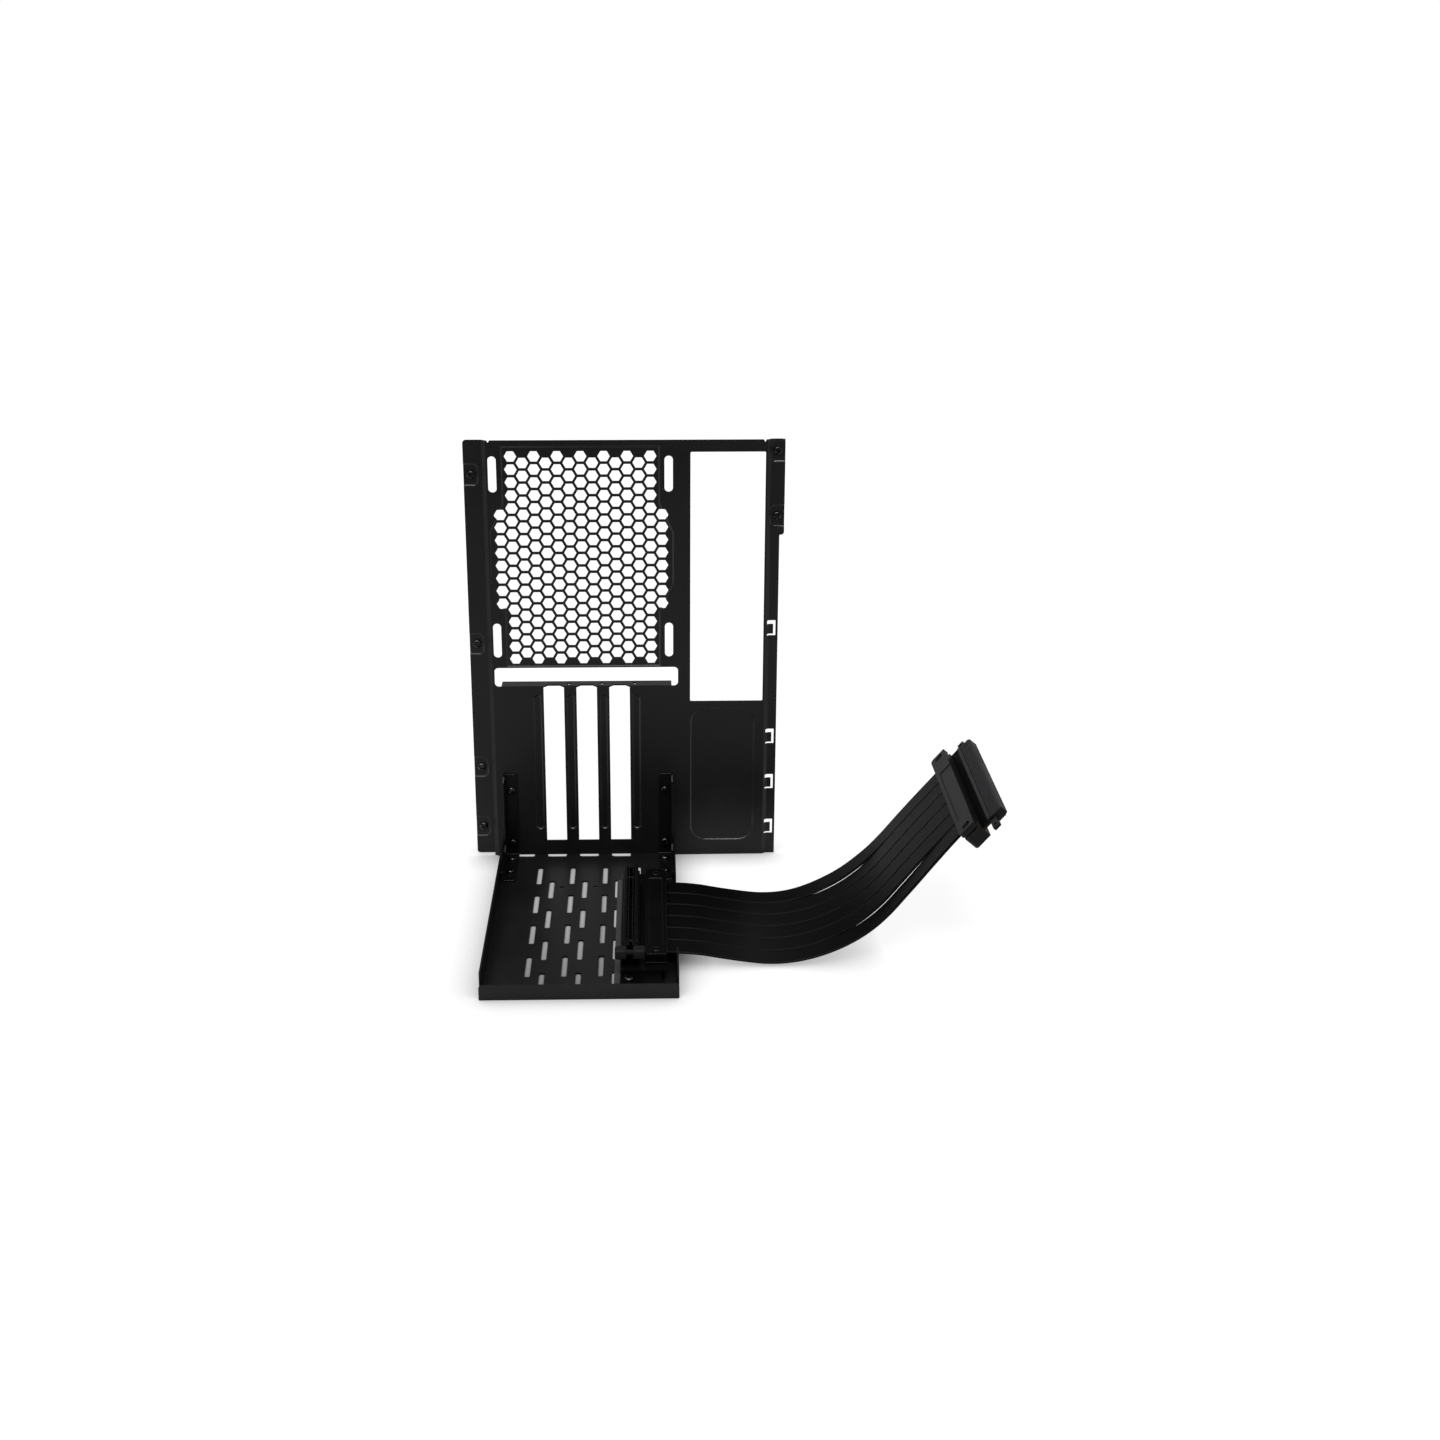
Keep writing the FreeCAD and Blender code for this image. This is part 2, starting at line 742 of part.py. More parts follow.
def vent_cells():
    """Return the honeycomb's cells as prisms: two fields that interleave and the two outermost columns."""
    column = f"hex_pitch * {math.sqrt(3) / 2}"
    half_columns = HEX_COLUMNS // 2
    half_rows = (HEX_ROWS - 1) / 2
    half_outer = (HEX_OUTER_ROWS - 1) / 2
    fields = (
        (half_columns, half_rows, 2, half_columns + 1, HEX_ROWS),
        (half_columns - 1, half_rows - 0.5, 2, half_columns, HEX_ROWS - 1),
        (half_columns + 1, half_outer, HEX_COLUMNS + 1, 2, HEX_OUTER_ROWS),
    )
    bodies = []
    for columns_left, rows_down, stride, across, down in fields:
        body = start_body("VentCells")
        body.AllowCompound = True
        cell = sketch_on(body, "XZ_Plane", MARGIN)
        x = f"fan_x - {columns_left} * {column}"
        z = f"fan_z - hex_drop - {rows_down} * hex_pitch"
        reach = f"hex_flats / {math.sqrt(3)}"
        polygon(
            cell,
            (f"{x} + {reach}", z),
            (f"{x} + {reach} / 2", f"{z} + hex_flats / 2"),
            (f"{x} - {reach} / 2", f"{z} + hex_flats / 2"),
            (f"{x} - {reach}", z),
            (f"{x} - {reach} / 2", f"{z} - hex_flats / 2"),
            (f"{x} + {reach} / 2", f"{z} - hex_flats / 2"),
        )
        feature = pad(body, cell, f"sheet + press_depth + 2 * {MARGIN}", reverse=True)
        repeat(body, [feature], cell, H=(f"{stride} * {column}", across), V=("hex_pitch", down))
        bodies.append(body)
    return bodies


def panel_drills():
    """Return a prism for each screw hole of the panel, with its flats at the hole's radius."""
    drills = []
    for x, z in PAD_SCREWS + UPRIGHT_SCREWS:
        drill = doc.addObject("Part::Prism", "Drill")
        drill.Polygon = HOLE_SIDES
        drill.Placement = Placement(Vector(), Rotation(Vector(1, 0, 0), -90))
        radius = f"({THREAD_HOLE}) / {math.cos(math.pi / HOLE_SIDES)}"
        bind(drill, Circumradius=radius, Height=f"joggle_step + press_depth + sheet + 2 * {MARGIN}")
        put(drill, x, f"panel_setback - {MARGIN}", z)
        drills.append(drill)
    return drills


def rear_panel():
    """Make the folded rear panel, then punch its honeycomb and screw holes."""
    body = start_body("PanelSheet")
    panel_sheet(body)
    panel_openings(body)
    panel_lip(body)
    panel_presses(body)
    panel_hooks(body)
    panel_vent(body)
    punches = doc.addObject("Part::Compound", "Punches")
    punches.Links = vent_cells() + panel_drills()
    panel = node(doc.addObject("Part::Cut", "rear_panel"), "rear_panel")
    panel.Base = body
    panel.Tool = punches
    doc.recompute()


def tray():
    """Make the folded tray: floor, side flanges, front lip and its slots."""
    body = new_body("tray")
    floor = sketch_on(body, "XY_Plane")
    rectangle(floor, "-tray_half", "tray_half", "-tray_depth", "0")
    pad(body, floor, "sheet")
    flanges = sketch_on(body, "XZ_Plane")
    rectangle(flanges, "-tray_half", "-tray_half + sheet", "0", "flange_height")
    rectangle(flanges, "tray_half - sheet", "tray_half", "0", "flange_height")
    pad(body, flanges, "tray_depth - sheet - flange_relief")
    lip = sketch_on(body, "XZ_Plane", "tray_depth")
    rectangle(lip, "-tray_half", "tray_half", "0", "front_lip")
    pad(body, lip, "sheet", reverse=True)
    front_corners = [(f"{side} * tray_half", "-tray_depth + sheet / 2", "front_lip") for side in (-1, 1)]
    round_edges(body, Vector(0, 1, 0), "corner_radius", front_corners)
    bends = [(f"{side} * tray_half", "-tray_depth / 2", "0") for side in (-1, 1)]
    round_edges(body, Vector(0, 1, 0), "bend_radius", bends)
    holes = sketch_on(body, "XY_Plane")
    slot_x, slot_y = "tray_slot_x", f"-tray_slot_first - {TRAY_SLOT_ROWS - 1} * tray_slot_step"
    clipped_slot(holes, slot_x, slot_y, "tray_slot_width", "tray_slot_length", "tray_slot_clip")
    feature = cut(body, holes)
    columns = {"H": ("slot_pitch", TRAY_SLOT_COLUMNS), "V": ("tray_slot_step", TRAY_SLOT_ROWS)}
    repeat(body, [feature], holes, **columns)
    between = sketch_on(body, "XY_Plane")
    shifted = ("tray_slot_x + tray_slot_shift", f"{slot_y} - tray_slot_step / 2")
    clipped_slot(between, *shifted, "tray_slot_width", "tray_slot_length", "tray_slot_clip")
    feature = cut(body, between)
    columns["H"] = ("slot_pitch", TRAY_SLOT_COLUMNS - 1)
    repeat(body, [feature], between, **columns)
    back = sketch_on(body, "XY_Plane")
    rectangle(back, *FOOT_NOTCH_SIDES, "-foot_notch_depth", MARGIN)
    feature = cut(body, back)
    repeat(body, [feature], back, H=("slot_pitch", FOOT_NOTCHES))
    small = sketch_on(body, "XY_Plane")
    screw_hole(small, "locating_x - slot_pitch", "-locating_depth", "locating_hole")
    feature = cut(body, small)
    repeat(body, [feature], small, H=("slot_pitch", 2))
    foot = sketch_on(body, "XY_Plane")
    screw_hole(foot, f"-{UPRIGHT_SCREW_X}", "-foot_screw_far", THREAD_HOLE)
    feature = cut(body, foot)
    gap = "foot_screw_far - foot_screw_near"
    repeat(body, [feature], foot, H=(f"2 * {UPRIGHT_SCREW_X}", 2), V=(gap, 2))
    notch = sketch_on(body, "YZ_Plane", "tray_half - 2 * sheet")
    half = f"({RIBBON_WIDTH} / 2 + cable_notch_gap)"
    back, front = f"-{RIBBON_MIDDLE} + {half}", f"-{RIBBON_MIDDLE} - {half}"
    rectangle(notch, front, back, "cable_notch_floor", f"flange_height + {MARGIN}")
    cut(body, notch, "3 * sheet", reverse=True)


def upright(label, side):
    """Make one angle bracket between the panel and the tray; side is -1 on the left and 1 on the right."""
    body = new_body(label)
    outer = f"{side} * {UPRIGHT_OUTER}"
    inner = f"{side} * upright_inner"
    leg = sketch_on(body, "YZ_Plane", outer)
    polygon(
        leg,
        ("0", "sheet"),
        ("-upright_foot", "sheet"),
        ("-upright_foot", "upright_leg"),
        ("-upright_foot + upright_chamfer", "sheet + upright_leg"),
        ("-upright_leg - upright_chamfer", "sheet + upright_leg"),
        ("-upright_leg", "sheet + upright_leg + upright_chamfer"),
        ("-upright_leg", "upright_top - upright_chamfer"),
        ("-upright_leg + upright_chamfer", "upright_top"),
        ("0", "upright_top"),
    )
    pad(body, leg, "sheet", reverse=side > 0)
    back = sketch_on(body, "XZ_Plane")
    rectangle(back, inner, outer, "sheet", "upright_top")
    pad(body, back, "sheet")
    foot = sketch_on(body, "XY_Plane", "sheet")
    rectangle(foot, inner, outer, "-upright_foot", "0")
    pad(body, foot, "sheet")
    corner = [(inner, "-sheet / 2", "upright_top")]
    round_edges(body, Vector(0, 1, 0), "corner_radius", corner)
    corner = [(inner, "-upright_foot", "sheet * 1.5")]
    round_edges(body, Vector(0, 0, 1), "corner_radius", corner)
    screw_x = f"{side} * {UPRIGHT_SCREW_X}"
    holes = sketch_on(body, "XZ_Plane", "sheet")
    for height in ("upright_screw_low", "upright_screw_high"):
        screw_hole(holes, screw_x, height, THREAD_HOLE)
    cut(body, holes, "sheet")
    holes = sketch_on(body, "XY_Plane", "2 * sheet")
    for depth in ("foot_screw_near", "foot_screw_far"):
        screw_hole(holes, screw_x, f"-{depth}", THREAD_HOLE)
    cut(body, holes, "sheet")


def screw_group(label, sizes, places, turn=None, carrier=None):
    """Set out equal screws as one node.

    sizes are formulas of the shank's radius and length and the head's radius and height. Each place is the
    seat under a head, as three formulas, and turn aims the heads.
    """
    radius, length, head_radius, head_height = sizes
    screws = []
    for place in places:
        shank = doc.addObject("Part::Prism", "Shank")
        shank.Polygon = SHANK_SIDES
        bind(shank, Circumradius=radius, Height=length)
        put(shank, z=f"-({length})")
        head = doc.addObject("Part::Prism", "Head")
        head.Polygon = HEAD_SIDES
        bind(head, Circumradius=head_radius, Height=head_height)
        screw = doc.addObject("Part::Fuse", "Screw")
        screw.Base = shank
        screw.Tool = head
        if turn:
            screw.Placement = Placement(Vector(), turn)
        put(screw, *place)
        screws.append(screw)
    group = node(doc.addObject("Part::Compound", label), label)
    group.Links = screws
    if carrier is None:
        put(group, y="panel_setback")
    else:
        group.Placement = carrier
    return group


def frame_screws():
    """Set the screws of the panel's pads, the uprights and their feet."""
    to_front = Rotation(Vector(1, 0, 0), 90)
    head = ("head_radius", "head_height")
    pad_face = "joggle_step + press_depth"
    places = [(x, pad_face, z) for x, z in PAD_SCREWS]
    screw_group("panel_screws", ("screw_radius", "panel_screw_length", *head), places, to_front)
    places = [(x, "-sheet", z) for x, z in UPRIGHT_SCREWS]
    screw_group("upright_screws", ("screw_radius", "upright_screw_length", *head), places, to_front)
    depths = ("-foot_screw_near", "-foot_screw_far")
    places = [(f"{side} * {UPRIGHT_SCREW_X}", depth, "2 * sheet") for side in ("-1", "1") for depth in depths]
    screw_group("foot_screws", ("screw_radius", "2 * sheet - screw_clearance", *head), places)


BRACKET_SCREWS = (
    "-(bracket_back + bracket_screw_inset)",
    "-(bracket_back + bracket_length - bracket_screw_inset)",
)


def riser_bracket():
    """Make the folded channel under the riser board, its two standoffs and its screws."""
    body = new_body("riser_bracket")
    section = sketch_on(body, "XZ_Plane", "bracket_back")
    top = "sheet + bracket_rise"
    web = "bracket_left + bracket_foot"
    polygon(
        section,
        ("bracket_left", "sheet"),
        (web, "sheet"),
        (web, f"{top} - sheet"),
        ("bracket_right - sheet", f"{top} - sheet"),
        ("bracket_right - sheet", "sheet"),
        ("bracket_right", "sheet"),
        ("bracket_right", top),
        (f"{web} - sheet", top),
        (f"{web} - sheet", "2 * sheet"),
        ("bracket_left", "2 * sheet"),
    )
    pad(body, section, "bracket_length")
    holes = sketch_on(body, "XY_Plane", top)
    for y in BRACKET_SCREWS:
        screw_hole(holes, "bracket_screw_x", y, THREAD_HOLE)
    cut(body, holes, "sheet")
    posts = []
    for y in BRACKET_SCREWS:
        post = doc.addObject("Part::Prism", "Post")
        post.Polygon = STANDOFF_SIDES
        bind(post, Circumradius="standoff_radius", Height="bracket_rise - sheet")
        put(post, "bracket_screw_x", y, "sheet")
        bore = doc.addObject("Part::Prism", "Bore")
        bore.Polygon = STANDOFF_SIDES
        bind(bore, Circumradius=THREAD_HOLE, Height="bracket_rise - sheet")
        put(bore, "bracket_screw_x", y, "sheet")
        sleeve = doc.addObject("Part::Cut", "Sleeve")
        sleeve.Base = post
        sleeve.Tool = bore
        posts.append(sleeve)
    group = node(doc.addObject("Part::Compound", "bracket_standoffs"), "bracket_standoffs")
    group.Links = posts
    put(group, y="panel_setback")
    sizes = ("screw_radius", "bracket_rise - screw_clearance", "head_radius", "head_height")
    screw_group("bracket_screws", sizes, [("bracket_screw_x", y, top) for y in BRACKET_SCREWS])


CLAMP_SCREWS = ("-(clamp_back + clamp_screw_inset)", f"-(clamp_back + {CLAMP_LENGTH} - clamp_screw_inset)")


def riser_board():
    """Make the circuit board under the socket."""
    body = new_body("riser_board")
    outline = sketch_on(body, "XY_Plane", "sheet + bracket_rise")
    front = "-(riser_board_back + riser_board_length)"
    rectangle(outline, "riser_board_left", "riser_board_right", front, "-riser_board_back")
    for y in CLAMP_SCREWS:
        screw_hole(outline, "clamp_screw_x", y, "clamp_screw_radius + screw_clearance")
    pad(body, outline, "board")


SOCKET_FRONT = "-(socket_back + socket_length)"
LATCH_AXIS_Y = f"({SOCKET_FRONT} - latch_axis_reach)"
LATCH_AXIS_Z = f"({BOARD_TOP} + latch_axis_height)"


def slot_socket():
    """Make the card socket: stepped housing, keyed groove, contact troughs and the latch's two cheeks."""
    body = new_body("slot_socket")
    section = sketch_on(body, "XZ_Plane", "socket_back")
    half = "socket_width / 2"
    ledge = f"{BOARD_TOP} + socket_ledge_height"
    top = f"{BOARD_TOP} + socket_height"
    polygon(
        section,
        (f"socket_x - {half}", BOARD_TOP),
        (f"socket_x + {half}", BOARD_TOP),
        (f"socket_x + {half}", ledge),
        (f"socket_x + {half} - socket_ledge", ledge),
        (f"socket_x + {half} - socket_ledge", top),
        (f"socket_x - {half} + socket_ledge", top),
        (f"socket_x - {half} + socket_ledge", ledge),
        (f"socket_x - {half}", ledge),
    )
    pad(body, section, "socket_length")
    cheeks = sketch_on(body, "YZ_Plane", f"socket_x - {half}")
    reach = f"{SOCKET_FRONT} - cheek_reach"
    rectangle(cheeks, reach, SOCKET_FRONT, BOARD_TOP, f"{BOARD_TOP} + cheek_height")
    pad(body, cheeks, "socket_width")
    gap = sketch_on(body, "XY_Plane", f"{BOARD_TOP} + cheek_height")
    wall = "cheek_wall"
    rectangle(gap, f"socket_x - {half} + {wall}", f"socket_x + {half} - {wall}", reach, SOCKET_FRONT)
    cut(body, gap, "cheek_height")
    bore = sketch_on(body, "YZ_Plane", f"socket_x - {half}")
    circle(bore, LATCH_AXIS_Y, LATCH_AXIS_Z, "latch_pin_radius + screw_clearance")
    cut(body, bore, "socket_width", reverse=True)
    groove = sketch_on(body, "XY_Plane", top)
    left, right = "socket_x - groove_width / 2", "socket_x + groove_width / 2"
    start = "-(socket_back + groove_inset)"
    stop = f"{SOCKET_FRONT} + groove_inset"
    rectangle(groove, left, right, f"{start} - groove_lead", start)
    rectangle(groove, left, right, stop, f"{start} - groove_lead - key_width")
    cut(body, groove, "groove_depth")
    troughs = sketch_on(body, "XY_Plane", top)
    reach = "groove_width / 2 + contact_wall"
    for side in ("-", "+"):
        inner = f"socket_x {side} ({reach})"
        outer = f"socket_x {side} ({reach} + contact_trough)"
        sides = (outer, inner) if side == "-" else (inner, outer)
        rectangle(troughs, *sides, f"{start} - groove_lead", start)
        rectangle(troughs, *sides, stop, f"{start} - groove_lead - key_width")
    cut(body, troughs, "contact_height")


def slot_contacts():
    """Make the contact blades in the socket's troughs as one group of separate solids."""
    reach = "groove_width / 2 + contact_wall"
    start = "-(socket_back + groove_inset)"
    rows = (
        (f"{start} - contact_pitch / 2", CONTACTS_BEFORE_KEY),
        (f"{start} - groove_lead - key_width - contact_pitch / 2", CONTACTS_AFTER_KEY),
    )
    blades = []
    low = f"{BOARD_TOP} + socket_height - contact_height"
    height = "contact_height - contact_drop"
    for side in ("-", "+"):
        offset = f"({reach} + contact_trough)" if side == "-" else f"({reach})"
        for first, count in rows:
            for place in range(count):
                blade = doc.addObject("Part::Box", "Blade")
                bind(blade, Length="contact_trough", Width="contact_width", Height=height)
                near = f"{first} - {place} * contact_pitch - contact_width / 2"
                put(blade, f"socket_x {side} {offset}", near, low)
                blades.append(blade)
    group = node(doc.addObject("Part::Compound", "slot_contacts"), "slot_contacts")
    group.Links = blades
    put(group, y="panel_setback")


def slot_latch():
    """Make the card latch: a lever on a pin between the socket's cheeks, with a thumb ear on each side."""
    body = new_body("slot_latch")
    lever = sketch_on(body, "YZ_Plane", "socket_x")
    back = f"{SOCKET_FRONT} - latch_play"
    low = LATCH_AXIS_Z
    shelf = f"{BOARD_TOP} + latch_shelf"
    top = f"{BOARD_TOP} + latch_top"
    front = f"{SOCKET_FRONT} - latch_reach"
    polygon(
        lever,
        (back, low),
        (back, top),
        (front, top),
        (front, f"{shelf} + ear_radius"),
        (f"{front} + ear_radius", shelf),
        (f"{LATCH_AXIS_Y} - latch_root_radius", shelf),
        (f"{LATCH_AXIS_Y} - latch_root_radius", low),
    )
    pad(body, lever, "socket_width - 2 * (cheek_wall + latch_play)", middle=True)
    root = sketch_on(body, "YZ_Plane", "socket_x")
    circle(root, LATCH_AXIS_Y, LATCH_AXIS_Z, "latch_root_radius")
    pad(body, root, "socket_width - 2 * (cheek_wall + latch_play)", middle=True)
    pin = sketch_on(body, "YZ_Plane", "socket_x")
    circle(pin, LATCH_AXIS_Y, LATCH_AXIS_Z, "latch_pin_radius")
    pad(body, pin, "socket_width", middle=True)
    ears = sketch_on(body, "XY_Plane", shelf)
    rear = f"{front} + ear_reach"
    rounded_box(ears, "socket_x - ear_half", "socket_x + ear_half", front, rear, "ear_radius")
    pad(body, ears, "latch_top - latch_shelf")
    notch = sketch_on(body, "XY_Plane", top)
    half = "groove_width / 2 + latch_play"
    rectangle(notch, f"socket_x - {half}", f"socket_x + {half}", f"{front} + ear_reach", f"{back} + {MARGIN}")
    cut(body, notch, "latch_top - latch_shelf")


def cable_clamp():
    """Make the cable clamp beside the socket: base, cover with the cable's way through it, and two screws."""
    right = "clamp_left + clamp_width"
    back, front = "-clamp_back", f"-(clamp_back + {CLAMP_LENGTH})"
    way_back = f"{back} - clamp_end"
    way_front = f"{front} + clamp_end"
    base = new_body("clamp_base")
    outline = sketch_on(base, "XY_Plane", BOARD_TOP)
    rectangle(outline, "clamp_left", right, front, back)
    for y in CLAMP_SCREWS:
        screw_hole(outline, "clamp_screw_x", y, "clamp_screw_radius + screw_clearance")
    pad(base, outline, "clamp_base_height")
    cover = new_body("clamp_cover")
    seat = f"{BOARD_TOP} + clamp_base_height"
    outline = sketch_on(cover, "XY_Plane", seat)
    clipped_box(outline, "clamp_left", right, front, back, "clamp_clip")
    pad(cover, outline, "clamp_cover_height")
    way = sketch_on(cover, "XY_Plane", seat)
    start = f"{RIBBON_ROUTE[0][0]}"
    rectangle(way, start, f"{right} + {MARGIN}", way_front, way_back)
    cut(cover, way, "ribbon", reverse=True)
    panel = sketch_on(cover, "XY_Plane", f"{seat} + clamp_cover_height")
    inset = "clamp_panel_margin"
    sides = f"clamp_left + {inset}", f"{right} - {inset}"
    rectangle(panel, *sides, f"{way_front} + {inset}", f"{way_back} - {inset}")
    cut(cover, panel, "clamp_panel_depth")
    holes = sketch_on(cover, "XY_Plane", f"{seat} + clamp_cover_height")
    for y in CLAMP_SCREWS:
        screw_hole(holes, "clamp_screw_x", y, "clamp_head_radius + screw_clearance")
    cut(cover, holes, "clamp_head_height")
    holes = sketch_on(cover, "XY_Plane", f"{seat} + clamp_cover_height")
    for y in CLAMP_SCREWS:
        screw_hole(holes, "clamp_screw_x", y, "clamp_screw_radius + screw_clearance")
    cut(cover, holes, "clamp_cover_height")
    neck = "clamp_cover_height - clamp_head_height"
    length = f"{neck} + clamp_base_height + board"
    sizes = ("clamp_screw_radius", length, "clamp_head_radius", "clamp_head_height")
    screw_group("clamp_screws", sizes, [("clamp_screw_x", y, f"{seat} + {neck}") for y in CLAMP_SCREWS])


def route_wire():
    """Join the route's straight runs by tangent arcs, as large as the runs allow."""
    points = [Vector(x, 0, z) for x, z in RIBBON_ROUTE]
    edges = []
    radii = []
    start = points[0]
    for before, corner, after in zip(points, points[1:], points[2:]):
        arrive = (corner - before).normalize()
        leave = (after - corner).normalize()
        reach = BEND_SHARE * min((corner - before).Length, (after - corner).Length)
        turn = arrive.getAngle(leave)
        radius = reach / math.tan(turn / 2)
        radii.append(round(radius, 1))
        entry, exit_point = corner - arrive * reach, corner + leave * reach
        inward = (leave - arrive).normalize()
        middle = corner + inward * (radius / math.cos(turn / 2) - radius)
        edges.append(Part.LineSegment(start, entry).toShape())
        edges.append(Part.Arc(entry, middle, exit_point).toShape())
        start = exit_point
    edges.append(Part.LineSegment(start, points[-1]).toShape())
    wire = Part.Wire(edges)
    print("ribbon length", round(wire.Length, 1), "bend radii", radii)
    return wire


def ribbon():
    """Make the strips of the flat cable, each a flat section swept along the route."""
    route = doc.addObject("Part::Feature", "RibbonRoute")
    route.Shape = route_wire()
    length = route.Shape.Length
    half = f"{RIBBON_WIDTH} / 2"
    for place in range(RIBBON_STRIPS):
        section = doc.addObject("Sketcher::SketchObject", "StripSection")
        section.Placement = Placement(Vector(RIBBON_ROUTE[0][0], 0, RIBBON_ROUTE[0][1]), Rotation(0, 90, 0))
        far = f"{half} - {place} * (strip_width + strip_gap)"
        rectangle(section, "-ribbon / 2", "ribbon / 2", f"{far} - strip_width", far)
        strip = node(doc.addObject("Part::Sweep", "Strip"), f"ribbon_strip_{place + 1}")
        strip.Sections = [section]
        strip.Spine = (route, [f"Edge{index}" for index in range(1, len(route.Shape.Edges) + 1)])
        strip.Solid = True
        strip.Frenet = False
        put(strip, y=f"panel_setback - {RIBBON_MIDDLE}")
        doc.recompute()
        expected = length * number("strip_width * ribbon")
        print(strip.Label, "volume over section times length", round(strip.Shape.Volume / expected, 4))


def plug_placement():
    """Return where the plug sits: its entry plane on the cable's last run, square to it."""
    (x_before, z_before), (x_end, z_end) = RIBBON_ROUTE[-2:]
    slope = math.atan2(z_end - z_before, x_end - x_before)
    entry = number("plug_entry")
    place = Vector(x_end - entry * math.cos(slope), 0, z_end - entry * math.sin(slope))
    place.y = number(f"panel_setback - {RIBBON_MIDDLE}")
    return Placement(place, Rotation(Vector(0, 1, 0), -math.degrees(slope)))


def plug_body(label, place):
    """Start a piece of the plug: X leaves the cable, Z points up from the cable's middle plane."""
    body = node(doc.addObject("PartDesign::Body", label), label)
    body.Placement = place
    return body


SHOULDER_FRONT = "plug_cover_length + plug_shoulder"
PLUG_SCREWS = ("plug_cover_half - plug_screw_inset", "-(plug_cover_half - plug_screw_inset)")


def plug_covers(place):
    """Make the two halves of the plug's clamp and their screws."""
    half = "ribbon / 2"
    halves = (
        ("plug_cover_top", half, "plug_cover_height", True),
        ("plug_cover_bottom", f"-{half}", "plug_base_height", False),
    )
    for label, face, height, up in halves:
        body = plug_body(label, place)
        outline = sketch_on(body, "XY_Plane", face)
        polygon(
            outline,
            ("0", "-plug_cover_half + plug_cover_bevel"),
            ("plug_cover_bevel", "-plug_cover_half"),
            ("plug_cover_length", "-plug_cover_half"),
            ("plug_cover_length", "plug_cover_half"),
            ("plug_cover_bevel", "plug_cover_half"),
            ("0", "plug_cover_half - plug_cover_bevel"),
        )
        pad(body, outline, height, reverse=not up)
        if not up:
            wall = sketch_on(body, "XY_Plane", face)
            rectangle(wall, "plug_entry", "plug_cover_length", f"-{RIBBON_WIDTH} / 2", f"{RIBBON_WIDTH} / 2")
            for y in PLUG_SCREWS:
                screw_hole(wall, "plug_screw_reach", y, "plug_boss_radius")
            pad(body, wall, "ribbon")
            slot = sketch_on(body, "YZ_Plane", "plug_cover_length")
            low, high = "-plug_drop - board / 2", "-plug_drop + board / 2"
            rectangle(slot, f"-{RIBBON_WIDTH} / 2", f"{RIBBON_WIDTH} / 2", low, high)
            cut(body, slot, "plug_cover_length - plug_entry")
        holes = sketch_on(body, "XY_Plane", face)
        for y in PLUG_SCREWS:
            screw_hole(holes, "plug_screw_reach", y, "clamp_screw_radius + screw_clearance")
        cut(body, holes)
        if up:
            heads = sketch_on(body, "XY_Plane", f"{half} + plug_cover_height")
            width = "2 * (clamp_head_radius + screw_clearance)"
            for y in PLUG_SCREWS:
                clipped_slot(heads, "plug_slot_reach", y, "plug_slot_length", width, "clamp_clip")
            cut(body, heads, "clamp_head_height")
            panel = sketch_on(body, "XY_Plane", f"{half} + plug_cover_height")
            rectangle(
                panel,
                "clamp_panel_margin",
                f"plug_cover_length + {MARGIN}",
                "-plug_panel_near",
                "plug_panel_far",
            )
            cut(body, panel, "clamp_panel_depth")
    seat = f"{half} + plug_cover_height - clamp_head_height"
    length = "ribbon + plug_cover_height + plug_base_height - clamp_head_height"
    sizes = ("clamp_screw_radius", length, "clamp_head_radius", "clamp_head_height")
    places = [("plug_screw_reach", y, seat) for y in PLUG_SCREWS]
    screw_group("plug_screws", sizes, places, carrier=place)


def plug_board(place):
    """Make the plug's circuit board: a shoulder between the clamp's halves and a keyed edge tongue."""
    body = plug_body("plug_board", place)
    outline = sketch_on(body, "XY_Plane", "-plug_drop - board / 2")
    tip = f"{SHOULDER_FRONT} + tongue_length"
    near, far = "-tongue_half - tongue_shift", "tongue_half - tongue_shift"
    key = "edge_key_reach - tongue_shift"
    polygon(
        outline,
        ("plug_entry", f"-{RIBBON_WIDTH} / 2"),
        ("plug_cover_length", f"-{RIBBON_WIDTH} / 2"),
        ("plug_cover_length", "-plug_cover_half"),
        (SHOULDER_FRONT, "-plug_cover_half"),
        (SHOULDER_FRONT, near),
        (tip, near),
        (tip, key),
        (SHOULDER_FRONT, key),
        (SHOULDER_FRONT, f"{key} + edge_key"),
        (tip, f"{key} + edge_key"),
        (tip, far),
        (SHOULDER_FRONT, far),
        (SHOULDER_FRONT, "plug_cover_half"),
        ("plug_cover_length", "plug_cover_half"),
        ("plug_cover_length", f"{RIBBON_WIDTH} / 2"),
        ("plug_entry", f"{RIBBON_WIDTH} / 2"),
    )
    for side in ("", "-"):
        reach = "plug_cover_length + plug_shoulder / 2"
        screw_hole(outline, reach, f"{side}(plug_cover_half - ear_hole_inset)", "ear_hole_radius")
    pad(body, outline, "board")


